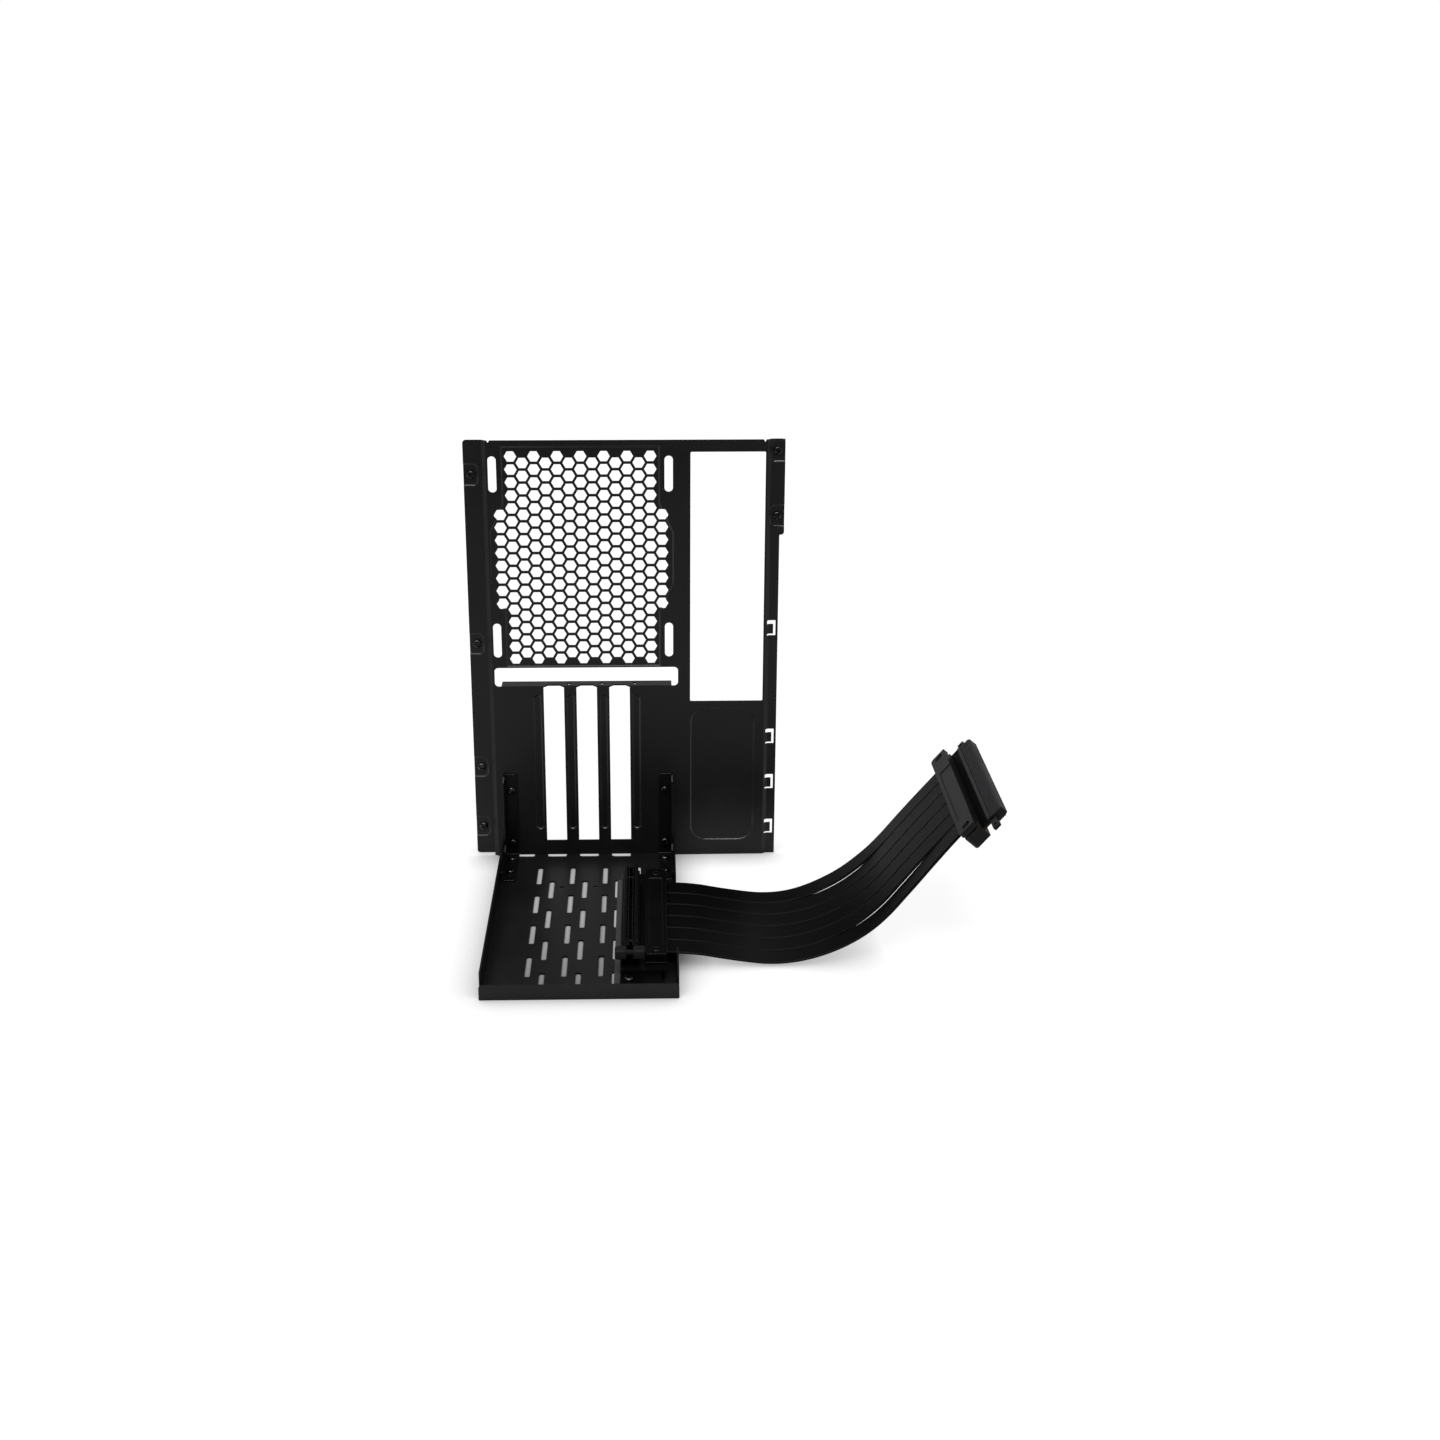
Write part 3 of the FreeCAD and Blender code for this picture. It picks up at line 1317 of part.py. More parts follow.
def contact_cap(place):
    """Make the ribbed cap that slides over the plug's edge contacts, with a rim and two end tabs.

    Its origin is the middle of the board's tongue.
    """
    lowered = place.multiply(Placement(Vector(0, -number("tongue_shift"), -number("plug_drop")), Rotation()))
    body = plug_body("contact_cap", lowered)
    outline = sketch_on(body, "XY_Plane", "-cap_height")
    reach = "tongue_half + cap_wall + cap_clearance"
    tip = f"{SHOULDER_FRONT} + tongue_length + cap_wall"
    polygon(
        outline,
        (SHOULDER_FRONT, f"-({reach})"),
        (f"{tip} - cap_wall", f"-({reach})"),
        (tip, f"-({reach}) + cap_wall"),
        (tip, f"{reach} - cap_wall"),
        (f"{tip} - cap_wall", reach),
        (SHOULDER_FRONT, reach),
    )
    pad(body, outline, "2 * cap_height")
    tabs = sketch_on(body, "XY_Plane", "-cap_tab / 2")
    tab_front = f"{SHOULDER_FRONT} + cap_tab_reach"
    rectangle(tabs, SHOULDER_FRONT, tab_front, "-cap_tab_half", "cap_tab_half")
    for side in ("", "-"):
        hole_y = f"{side}(cap_tab_half - ear_hole_inset)"
        screw_hole(tabs, f"{SHOULDER_FRONT} + cap_tab_reach / 2", hole_y, "ear_hole_radius")
    pad(body, tabs, "cap_tab")
    rim = sketch_on(body, "XZ_Plane", f"-({reach})")
    height = "cap_height + cap_rim_rise"
    rectangle(rim, SHOULDER_FRONT, f"{SHOULDER_FRONT} + cap_rim", f"-({height})", height)
    pad(body, rim, f"2 * ({reach})")
    ribs = sketch_on(body, "XZ_Plane", f"-({reach})")
    first = f"{SHOULDER_FRONT} + cap_rim + cap_rib_pitch / 2"
    for face in ("cap_height", "-cap_height - cap_rib"):
        rectangle(ribs, first, f"{first} + cap_rib_pitch / 2", face, f"{face} + cap_rib")
    feature = pad(body, ribs, f"2 * ({reach})")
    repeat(body, [feature], ribs, H=("cap_rib_pitch", CAP_RIBS))
    mouth = sketch_on(body, "YZ_Plane", SHOULDER_FRONT)
    width = "tongue_half + cap_clearance"
    height = "board / 2 + cap_clearance"
    rectangle(mouth, f"-({width})", width, f"-({height})", height)
    cut(body, mouth, "tongue_length", reverse=True)


def check_and_write():
    """Test every object and write each piece to its own file."""
    doc.recompute()
    for item in doc.Objects:
        if "Invalid" in item.State or "Error" in item.State:
            raise RuntimeError(f"{item.Label} failed")
    os.makedirs("parts", exist_ok=True)
    for item in nodes:
        shape = item.Shape
        if shape.isNull() or not shape.isValid() or not shape.Solids:
            raise RuntimeError(f"{item.Label} has no valid solid")
        shape.exportStep(f"parts/{item.Label}.step")
        print(item.Label, len(shape.Solids), round(shape.Volume, 1))


def main():
    """Build the mount."""
    fill_sheet()
    rear_panel()
    tray()
    upright("left_upright", -1)
    upright("right_upright", 1)
    frame_screws()
    riser_bracket()
    riser_board()
    slot_socket()
    slot_contacts()
    slot_latch()
    cable_clamp()
    ribbon()
    place = plug_placement()
    plug_covers(place)
    plug_board(place)
    contact_cap(place)
    check_and_write()


main()
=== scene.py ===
"""Studio scene of an upright graphics-card mount.

A folded, powder-coated steel panel stands on a slotted tray. The tray carries a card socket on a folded
channel, and a flat cable of parallel strips runs from the socket's clamp to a plug under a ribbed cap.
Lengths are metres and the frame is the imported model's: X along the panel, Y towards it, Z up.
"""
from __future__ import annotations

import logging
import math
from dataclasses import dataclass, field, replace
from enum import Enum
from functools import cache

import bmesh
import bpy
import numpy as np
from mathutils import Matrix, Vector


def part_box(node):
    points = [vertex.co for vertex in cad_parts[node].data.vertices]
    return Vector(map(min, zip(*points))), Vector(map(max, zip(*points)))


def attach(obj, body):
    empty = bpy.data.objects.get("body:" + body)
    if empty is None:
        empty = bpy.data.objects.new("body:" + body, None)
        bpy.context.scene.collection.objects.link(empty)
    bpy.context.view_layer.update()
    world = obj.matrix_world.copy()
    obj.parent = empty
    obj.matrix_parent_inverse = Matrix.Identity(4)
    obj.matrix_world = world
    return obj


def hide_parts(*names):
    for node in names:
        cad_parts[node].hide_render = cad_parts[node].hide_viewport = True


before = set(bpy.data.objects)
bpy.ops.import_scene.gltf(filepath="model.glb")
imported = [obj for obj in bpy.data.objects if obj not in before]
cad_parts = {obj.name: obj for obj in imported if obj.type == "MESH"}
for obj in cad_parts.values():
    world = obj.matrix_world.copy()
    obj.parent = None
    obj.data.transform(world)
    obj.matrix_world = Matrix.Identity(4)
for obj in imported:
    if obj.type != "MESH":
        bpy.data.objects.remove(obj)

LOG = logging.getLogger("card_mount")
MM = 0.001
STRIP_MAP = "strip_map"
UP = (0.0, 0.0, 1.0)
FORWARD = (0.0, -1.0, 0.0)
# The direction square to the plug's board, which leans with the end of the cable.
PLUG_UP = (-0.7645, 0.0, 0.6446)
Array = np.ndarray
Colour = tuple[float, float, float, float]
Material = bpy.types.Material
Pair = tuple[float, float]
Piece = bpy.types.Object
Place = tuple[float, float, float]
Socket = bpy.types.NodeSocket
Tree = bpy.types.NodeTree


class Body(Enum):
    """The moving bodies of the model."""

    FRAME = "frame"
    LATCH = "latch"


def linear(code: str) -> Colour:
    """Turn an sRGB hex colour into linear light, by the curve of the sRGB standard.

    Args:
        code: Six hex digits after a #.

    Returns:
        Linear red, green and blue, and full opacity.
    """
    digits = code.lstrip("#")
    parts = np.array([int(digits[place : place + 2], 16) / 255.0 for place in (0, 2, 4)])
    low, high = parts / 12.92, ((parts + 0.055) / 1.055) ** 2.4
    red, green, blue = np.where(parts <= 0.04045, low, high)
    return float(red), float(green), float(blue), 1.0


def add_node(
    tree: Tree, kind: str, inputs: dict[str | int, object] | None = None, **settings: object
) -> bpy.types.Node:
    """Add one node, set its properties and fill or link its sockets.

    Args:
        tree: The node tree that takes the node.
        kind: Blender's name of the node's type.
        inputs: Socket name or number to a value, or to another node's output socket.
        settings: Properties of the node.

    Returns:
        The new node.
    """
    made = tree.nodes.new(kind)
    for name, value in settings.items():
        setattr(made, name, value)
    for name, value in (inputs or {}).items():
        if isinstance(value, Socket):
            tree.links.new(value, made.inputs[name])
        else:
            made.inputs[name].default_value = value
    return made


def combine(tree: Tree, operation: str, *values: float | Socket) -> Socket:
    """Put one or two values through an arithmetic node.

    Args:
        tree: The node tree that takes the node.
        operation: Blender's name of the operation.
        values: Numbers or other nodes' outputs.

    Returns:
        The result.
    """
    return add_node(tree, "ShaderNodeMath", dict(enumerate(values)), operation=operation).outputs[0]


def ramp(
    tree: Tree,
    value: Socket,
    source: Pair = (0.0, 1.0),
    target: tuple[float | Socket, float | Socket] = (0.0, 1.0),
) -> Socket:
    """Map a value from one range to another, and hold it at both ends.

    Args:
        tree: The node tree that takes the node.
        value: The value to map.
        source: The value's range.
        target: What the ends of that range become: numbers or other nodes' outputs.

    Returns:
        The mapped value.
    """
    names = ("From Min", "From Max", "To Min", "To Max")
    inputs = {"Value": value, **dict(zip(names, (*source, *target)))}
    return add_node(tree, "ShaderNodeMapRange", inputs).outputs["Result"]


class Mix(Enum):
    """Kinds of blend: Blender's name, the numbers of both inputs and the number of the output."""

    NUMBER = ("FLOAT", 2, 3, 0)
    COLOUR = ("RGBA", 6, 7, 2)


def blend(
    tree: Tree, kind: Mix, share: Socket, first: float | Colour | Socket, second: float | Colour | Socket
) -> Socket:
    """Blend two numbers or two colours.

    Args:
        tree: The node tree that takes the node.
        kind: What is blended.
        share: The share of the second.
        first: What a share of nought gives.
        second: What a share of one gives.

    Returns:
        The blend.
    """
    name, first_input, second_input, output = kind.value
    inputs = {0: share, first_input: first, second_input: second}
    return add_node(tree, "ShaderNodeMix", inputs, data_type=name).outputs[output]


def empty_tree(owner: Material | bpy.types.World) -> Tree:
    """Switch a material or a world to nodes and return its emptied tree."""
    owner.use_nodes = True
    owner.node_tree.nodes.clear()
    return owner.node_tree


class Pattern(Enum):
    """What gives a finish its fine relief."""

    COAT = "sintered powder grains"
    MOULD = "spark-eroded mould texture"
    TURNED = "lathe marks"
    FILM = "extruded jacket"
    BOARD = "lacquer over copper"


# How a relief is squeezed along its three directions: streaks along a jacket, rings round a turned piece.
STRETCH = {Pattern.FILM: (0.012, 1.0, 1.0), Pattern.TURNED: (0.25, 0.25, 1.6)}
# The slow noise's size in grains and its usual range, and the range in which the pepper changes the tone.
CLOUD_GRAINS = 40.0
CLOUD_RANGE = (0.3, 0.7)
PEPPER_RANGE = (0.12, 0.42)
# A face whose normal has less than this share along a finish's lay shows the finish's side colour.
SIDE_SHARE = 0.5


@dataclass(frozen=True)
class Finish:
    """One real material: its colour, its gloss and the size of its relief.

    grain is the relief's spacing and relief its height, in millimetres. Fine grains are drawn coarser than
    life where the picture could not show them. side, where it is given, is the colour of the faces that do
    not lie square to the direction lay: a board's cut edges, a channel's flanges or a moulding's walls. On
    the channel's flanges it is painted light, and on the plug's moulded walls painted shade.
    """

    name: str
    colour: str
    worn: str
    roughness: float
    pattern: Pattern
    grain: float
    relief: float
    metallic: float = 0.0
    spread: float = 0.08
    specular: float = 0.5
    side: str = ""
    lay: Place = UP

    @cache
    def build(self) -> Material:
        """Make the node material of this finish, once.

        The tone drifts between colour and worn with a large noise peppered by the relief, the roughness
        follows the large noise, and the relief bends the normal.

        Returns:
            A material whose colour, roughness and normal vary over the surface.
        """
        material = bpy.data.materials.new(self.name)
        tree = empty_tree(material)
        height, cloud = self._relief(tree)
        share = ramp(tree, combine(tree, "MULTIPLY", cloud, height), PEPPER_RANGE)
        tone = blend(tree, Mix.COLOUR, share, linear(self.colour), linear(self.worn))
        if self.side:
            tone = self._side_tone(tree, tone)
        gloss = ramp(tree, cloud, CLOUD_RANGE, (self.roughness - self.spread, self.roughness + self.spread))
        bend = {"Strength": 1.0, "Distance": self.relief * MM, "Height": height}
        shader = add_node(
            tree,
            "ShaderNodeBsdfPrincipled",
            {
                "Base Color": tone,
                "Roughness": gloss,
                "Normal": add_node(tree, "ShaderNodeBump", bend).outputs["Normal"],
                "Metallic": self.metallic,
                "Specular IOR Level": self.specular,
            },
        )
        add_node(tree, "ShaderNodeOutputMaterial", {"Surface": shader.outputs["BSDF"]})
        return material

    def kin(self, name: str, colour: str, worn: str, **changes: object) -> Finish:
        """Return a finish of this kind in other tones, with some of its other values changed."""
        return replace(self, name=name, colour=colour, worn=worn, **changes)

    def _relief(self, tree: Tree) -> tuple[Socket, Socket]:
        """Draw the relief that the finish's pattern calls for.

        Args:
            tree: The material's node tree.

        Returns:
            The relief's height and the large, slow noise, both about nought to one.
        """
        per_metre = 1.0 / (self.grain * MM)
        if self.pattern is Pattern.FILM:
            place = add_node(tree, "ShaderNodeUVMap", uv_map=STRIP_MAP).outputs["UV"]
        else:
            place = add_node(tree, "ShaderNodeTexCoord").outputs["Object"]
        squeeze = {"Vector": place, "Scale": STRETCH.get(self.pattern, (1.0, 1.0, 1.0))}
        place = add_node(tree, "ShaderNodeMapping", squeeze).outputs["Vector"]
        slow = {"Vector": place, "Scale": per_metre / CLOUD_GRAINS, "Detail": 3.0, "Roughness": 0.6}
        cloud = add_node(tree, "ShaderNodeTexNoise", slow).outputs["Fac"]
        fine = {"Vector": place, "Scale": per_metre}
        if self.pattern in (Pattern.MOULD, Pattern.BOARD):
            metric = "EUCLIDEAN" if self.pattern is Pattern.MOULD else "CHEBYCHEV"
            cells = add_node(tree, "ShaderNodeTexVoronoi", fine, distance=metric)
            return cells.outputs["Distance"], cloud
        grains = add_node(tree, "ShaderNodeTexNoise", {**fine, "Detail": 2.0, "Roughness": 0.55})
        return grains.outputs["Fac"], cloud

    def _side_tone(self, tree: Tree, tone: Socket) -> Socket:
        """Show the side colour where a face's normal is far from the direction lay.

        Args:
            tree: The material's node tree.
            tone: The colour of the faces that lie square to lay.

        Returns:
            The colour with the sides in it.
        """
        normal = add_node(tree, "ShaderNodeNewGeometry").outputs["True Normal"]
        both = {0: normal, 1: self.lay}
        along = add_node(tree, "ShaderNodeVectorMath", both, operation="DOT_PRODUCT").outputs["Value"]
        side = combine(tree, "LESS_THAN", combine(tree, "ABSOLUTE", along), SIDE_SHARE)
        return blend(tree, Mix.COLOUR, side, tone, linear(self.side))


# Baked polyester powder on steel: a deep black with a fine even grain, half matt.
POWDER_COAT = Finish(
    "powder_coated_steel",
    "#0b0b0c",
    "#141415",
    roughness=0.38,
    pattern=Pattern.COAT,
    grain=0.9,
    relief=0.02,
    spread=0.04,
    specular=0.2,
)
# A lighter grey on the panel's pressed walls and on rounded edges: a painted highlight along them.
EDGE_HIGHLIGHT_COAT = POWDER_COAT.kin(
    "powder_coat_painted_edge_highlight", "#161618", "#212124", roughness=0.3, relief=0.01, specular=0.36
)
# A dark grey on the channel's foot and on its rounded folds and edges: a painted highlight where the light
# falls.
CHANNEL_HIGHLIGHT_COAT = POWDER_COAT.kin("powder_coat_painted_channel_highlight", "#2e2e31", "#3a3a3d", roughness=0.34, specular=0.3)
# The same powder made darker and duller as painted shade, on the upright angles and on the tray's rounded
# edges and the walls of its slots and holes.
PAINTED_SHADE_COAT = POWDER_COAT.kin("powder_coat_painted_shade", "#060607", "#0c0c0d", specular=0.1)
# The same powder on the folded channel: darkened on its top as painted shade, and grey on its flanges as
# painted light.
CHANNEL_SHADE_AND_LIGHT_COAT = POWDER_COAT.kin("powder_coat_channel_painted_shade_and_light", "#030304", "#060607", specular=0.05, side="#4a4a4e")
# Glass-filled nylon mouldings of the socket, latch and clamp: black, with a fine spark texture.
MOULDED_NYLON = Finish(
    "moulded_black_nylon",
    "#030304",
    "#070708",
    roughness=0.42,
    pattern=Pattern.MOULD,
    grain=0.5,
    relief=0.015,
    specular=0.05,
)
# A lighter grey on the mouldings' rounded edges: a painted highlight along them.
NYLON_EDGE_HIGHLIGHT = MOULDED_NYLON.kin(
    "black_nylon_painted_edge_highlight", "#0b0b0c", "#141416", roughness=0.32, relief=0.01, specular=0.16
)
# A greyer nylon on the latch's ears and bridge, and on its rounded edges as a painted highlight.
LATCH_GREYER_NYLON = MOULDED_NYLON.kin("black_nylon_greyer_latch", "#111112", "#19191a", roughness=0.4, specular=0.12)
# Filled ABS of the plug's covers and cap: a charcoal grey, matt from the mould, with its walls darkened as
# painted shade.
MOULDED_ABS = Finish(
    "moulded_charcoal_abs_painted_shade_walls",
    "#222224",
    "#303032",
    roughness=0.55,
    pattern=Pattern.MOULD,
    grain=0.6,
    relief=0.02,
    specular=0.14,
    side="#0a0a0b",
    lay=PLUG_UP,
)
# Case screws in black zinc: dark metal with bright worn ridges.
BLACK_ZINC = Finish(
    "black_zinc_steel",
    "#101012",
    "#505054",
    roughness=0.2,
    pattern=Pattern.TURNED,
    grain=0.5,
    relief=0.01,
    metallic=1.0,
)
# The plug's small screws, blackened in oxide and sunk in their slots.
BLACK_OXIDE = BLACK_ZINC.kin(
    "black_oxide_steel", "#030303", "#080808", roughness=0.5, metallic=0.0, specular=0.05
)
# Turned brass posts under the channel.
TURNED_BRASS = BLACK_ZINC.kin("turned_brass", "#b08a4a", "#d2ad68", roughness=0.3, grain=0.6, relief=0.02)
# Gold over nickel on the spring contacts, darkened as painted shade for the depth of the socket.
SHADED_GOLD_PLATE = BLACK_ZINC.kin("gold_plated_spring_painted_shade", "#2c2417", "#41361f", roughness=0.35)
# Black solder mask: thin lacquer with a slight shine over fibreglass, whose cut edges are black here.
RISER_MASK = Finish(
    "black_solder_mask",
    "#060606",
    "#0c0b0a",
    roughness=0.35,
    pattern=Pattern.BOARD,
    grain=1.6,
    relief=0.02,
    specular=0.06,
    side="#060606",
)
# The same on the plug's board, made darker and duller as painted shade between its covers and the cap; its
# cut edges are brown.
PLUG_MASK = RISER_MASK.kin(
    "black_solder_mask_on_plug_painted_shade",
    "#050505",
    "#0b0a09",
    roughness=0.4,
    specular=0.02,
    side="#1e1611",
    lay=PLUG_UP,
)
# Extruded film jacket of the flat cable: satin black with faint streaks along the pull.
CABLE_FILM = Finish(
    "extruded_cable_film",
    "#030304",
    "#080809",
    roughness=0.4,
    pattern=Pattern.FILM,
    grain=1.1,
    relief=0.02,
    spread=0.06,
    specular=0.07,
)


def dress(piece: Piece, material: Material) -> None:
    """Give a piece one material."""
    piece.data.materials.clear()
    piece.data.materials.append(material)


def place_object(name: str, data: bpy.types.ID) -> Piece:
    """Put a mesh, curve, light or camera into a new object of the scene, at the origin."""
    made = bpy.data.objects.new(name, data)
    bpy.context.scene.collection.objects.link(made)
    return made


def new_mesh(name: str, points: Array, faces: list[list[int]]) -> bpy.types.Mesh:
    """Put a surface into a new mesh.

    Args:
        name: Name of the mesh.
        points: Corner positions, one row each, in metres.
        faces: Corner numbers of each face.

    Returns:
        The mesh.
    """
    mesh = bpy.data.meshes.new(name)
    mesh.from_pydata(points.tolist(), [], faces)
    mesh.update()
    return mesh


def ring_faces(rings: int, around: int) -> Array:
    """Return the quads between rings of points, each of which closes on itself.

    Args:
        rings: Count of rings.
        around: Count of points in a ring.

    Returns:
        Four corner numbers per quad.
    """
    grid = np.meshgrid(np.arange(rings - 1), np.arange(around), indexing="ij")
    ring, step = (part.ravel() for part in grid)
    here, after = ring * around + step, ring * around + (step + 1) % around
    return np.stack((here, after, after + around, here + around), axis=1)


def joined(grids: list[Array]) -> tuple[Array, Array]:
    """Join grids of rings that have one size into one surface.

    Args:
        grids: Positions of each grid, a row per ring and a column per step round.

    Returns:
        All positions, one row each, and four corner numbers per quad.
    """
    rings, around = grids[0].shape[:2]
    quads = ring_faces(rings, around)
    points = np.concatenate([grid.reshape(-1, 3) for grid in grids])
    faces = np.concatenate([quads + number * rings * around for number in range(len(grids))])
    return points, faces


# Corners closer than this are one corner.
MERGE = 0.002 * MM
# Number of the rim's material on an eased copy, which paints a highlight on rounds and pressed walls, or
# painted shade on the tray.
RIM = 1


def close(piece: Piece, merge: float = MERGE) -> None:
    """Join a mesh's corners that lie in one place and turn its faces outwards.

    Args:
        piece: The piece whose mesh is closed.
        merge: How far joined corners may lie apart, or nought to leave every corner as it is.
    """
    work = bmesh.new()
    work.from_mesh(piece.data)
    if merge:
        bmesh.ops.remove_doubles(work, verts=work.verts, dist=merge)
    bmesh.ops.recalc_face_normals(work, faces=work.faces)
    work.to_mesh(piece.data)
    work.free()


class Crease(Enum):
    """Angles in degrees above which an edge stays sharp in the shading."""

    SCREW = 35.0
    CABLE = 40.0
    EASED = 50.0


def smooth(piece: Piece, crease: Crease) -> None:
    """Shade a mesh smooth, apart from its creases."""
    piece.data.shade_smooth()
    piece.data.set_sharp_from_angle(angle=math.radians(crease.value))


def ease(share: Array) -> Array:
    """Return 3 t ^ 2 - 2 t ^ 3, which leaves nought and reaches one without a kink."""
    return share * share * (3.0 - 2.0 * share)


@dataclass
class SoftenedNodes:
    """Copies of solid nodes whose folded, pressed and moulded edges are eased.

    Edges sharper than sharp degrees get a round of the width edge. The walls of pressed fields and stepped
    strips, whose depths walls lists, lean outwards by lean and get a round of the width press, and so do
    folds above the height folds that are longer than fold_length. front_faces are the sheet's front faces
    along Y. The leaning walls, all rounds, the faces that look up from below the height foot and the walls
    of holes below the height holes take the finish rim, which paints a highlight on them, or painted shade
    on the tray. Triangles within flat degrees become one face.

    level and near are lengths that count as none. upward, upright and square limit the share of a normal
    along an axis, and a face whose normal keeps less than kept of itself has folded over.
    """

    finishes: dict[str, Finish]
    rim: Finish
    body: Body = Body.FRAME
    slot: str = "black_steel"
    edge: float = 0.12 * MM
    press: float = 0.25 * MM
    walls: tuple[float, ...] = ()
    lean: float = 0.55 * MM
    front_faces: tuple[float, ...] = (99.0 * MM, 101.0 * MM)
    foot: float = 0.0
    holes: float = 0.0
    folds: float = math.inf
    fold_length: float = 50.0 * MM
    sharp: float = 25.0
    flat: float = 1.0
    steps: int = 2
    level: float = 0.01 * MM
    near: float = 0.05 * MM
    upward: float = 0.9
    upright: float = 0.1
    square: float = 0.05
    kept: float = 0.2

    def build(self) -> None:
        """Copy each node, ease its edges and dress it."""
        for node, finish in self.finishes.items():
            piece = self.copy(node)
            for coat in (finish, self.rim):
                piece.data.materials.append(coat.build())
            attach(piece, self.body.value)
            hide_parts(node)
            LOG.info("%s eased, in %s", node, finish.name)

    def copy(self, node: str) -> Piece:
        """Copy one node's mesh, join its loose triangles into whole faces and round its edges.

        Args:
            node: Name of the solid node.

        Returns:
            The copy, with its rounding as a modifier.
        """
        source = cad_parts[node]
        work = bmesh.new()
        work.from_mesh(source.data)
        bmesh.ops.transform(work, matrix=source.matrix_world, verts=work.verts)
        bmesh.ops.remove_doubles(work, verts=work.verts, dist=MERGE)
        if self.edge:
            flat = math.radians(self.flat)
            bmesh.ops.dissolve_limit(work, angle_limit=flat, verts=work.verts, edges=work.edges)
        self.weigh(work)
        self.lean_walls(work, *(Vector(corner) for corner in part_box(node)))
        self.mark(work)
        mesh = bpy.data.meshes.new(f"{node}_eased")
        work.to_mesh(mesh)
        work.free()
        piece = place_object(f"{node}_eased", mesh)
        rounds = piece.modifiers.new("edges", "BEVEL")
        rounds.limit_method = "WEIGHT"
        rounds.width = self.press
        rounds.segments = self.steps
        rounds.material = RIM
        rounds.use_clamp_overlap = False
        if self.edge:
            smooth(piece, Crease.EASED)
            even = piece.modifiers.new("even_faces", "WEIGHTED_NORMAL")
            even.weight = 100
            even.keep_sharp = True
        return piece

    def weigh(self, work: bmesh.types.BMesh) -> None:
        """Write each sharp edge's share of the widest round: all of it at a pressed wall or a fold.

        Args:
            work: The mesh whose edges are weighed.
        """
        layer = work.edges.layers.float.new("bevel_weight_edge")
        share = self.edge / self.press
        for edge in work.edges:
            if len(edge.link_faces) != 2 or edge.calc_face_angle(0.0) < math.radians(self.sharp):
                continue
            level = abs(edge.verts[0].co.y - edge.verts[1].co.y) < self.level
            pressed = level and any(self.is_wall(face) for face in edge.link_faces)
            high = min(corner.co.z for corner in edge.verts) > self.folds
            folded = high and edge.calc_length() > self.fold_length
            edge[layer] = 1.0 if pressed or folded else share

    def mark(self, work: bmesh.types.BMesh) -> None:
        """Give the rim's finish to the foot and to the walls of the low holes: a painted highlight on the
        channel's foot, painted shade in the tray's holes and slots.

        Args:
            work: The mesh whose faces are marked.
        """
        for face in work.faces:
            height = face.calc_center_median().z
            foot = face.normal.z > self.upward and height < self.foot
            hole = abs(face.normal.z) < self.upright and height < self.holes
            if foot or hole:
                face.material_index = RIM

    def lean_walls(self, work: bmesh.types.BMesh, low: Vector, high: Vector) -> None:
        """Move the front rim of each pressed field away from the field, square to its walls.

        A corner between two walls moves by (a + b) / (1 + a . b), which lies lean away from both. The
        divisor stays over a half, so that a sharp corner does not run far out. The corner stays in the
        node's box, and where the move would fold a face over it stays in its place.

        Args:
            work: The mesh that is changed.
            low: Lowest corner of the node's box.
            high: Highest corner of the node's box.
        """
        pushes: dict[bmesh.types.BMVert, list[Vector]] = {}
        for face in work.faces:
            if not self.is_wall(face):
                continue
            # A pressed wall takes the rim finish: a painted highlight along it.
            face.material_index = RIM
            rim = min(corner.co.y for corner in face.verts)
            front = min(abs(rim - place) for place in self.front_faces) < self.near
            away = -face.normal if front else face.normal
            for corner in face.verts:
                if corner.co.y - rim < self.level:
                    pushes.setdefault(corner, []).append(away.copy())
        for corner, ways in pushes.items():
            first, last = ways[0], ways[-1]
            home, before = corner.co.copy(), [face.normal.copy() for face in corner.link_faces]
            corner.co += (first + last) / max(1.0 + first.dot(last), 0.5) * self.lean
            corner.co = Vector(np.clip(corner.co, low, high))
            if self.folded(corner, before):
                corner.co = home
                self.folded(corner, before)

    def folded(self, corner: bmesh.types.BMVert, before: list[Vector]) -> bool:
        """Work out the normals round a moved corner and tell whether a face has folded over.

        Args:
            corner: The corner that moved.
            before: The normals of its faces before the move.

        Returns:
            True where a normal has turned far from what it was.
        """
        for face in corner.link_faces:
            face.normal_update()
        return any(face.normal.dot(old) < self.kept for face, old in zip(corner.link_faces, before))

    def is_wall(self, face: bmesh.types.BMFace) -> bool:
        """Tell whether a face is square to the sheet and as deep as one of the walls.

        Args:
            face: A face of the copy.

        Returns:
            True for a wall of a pressed field or a stepped strip.
        """
        if not self.walls or abs(face.normal.y) > self.square:
            return False
        places = [corner.co.y for corner in face.verts]
        depth = max(places) - min(places)
        return any(abs(depth - wall) < self.near for wall in self.walls)


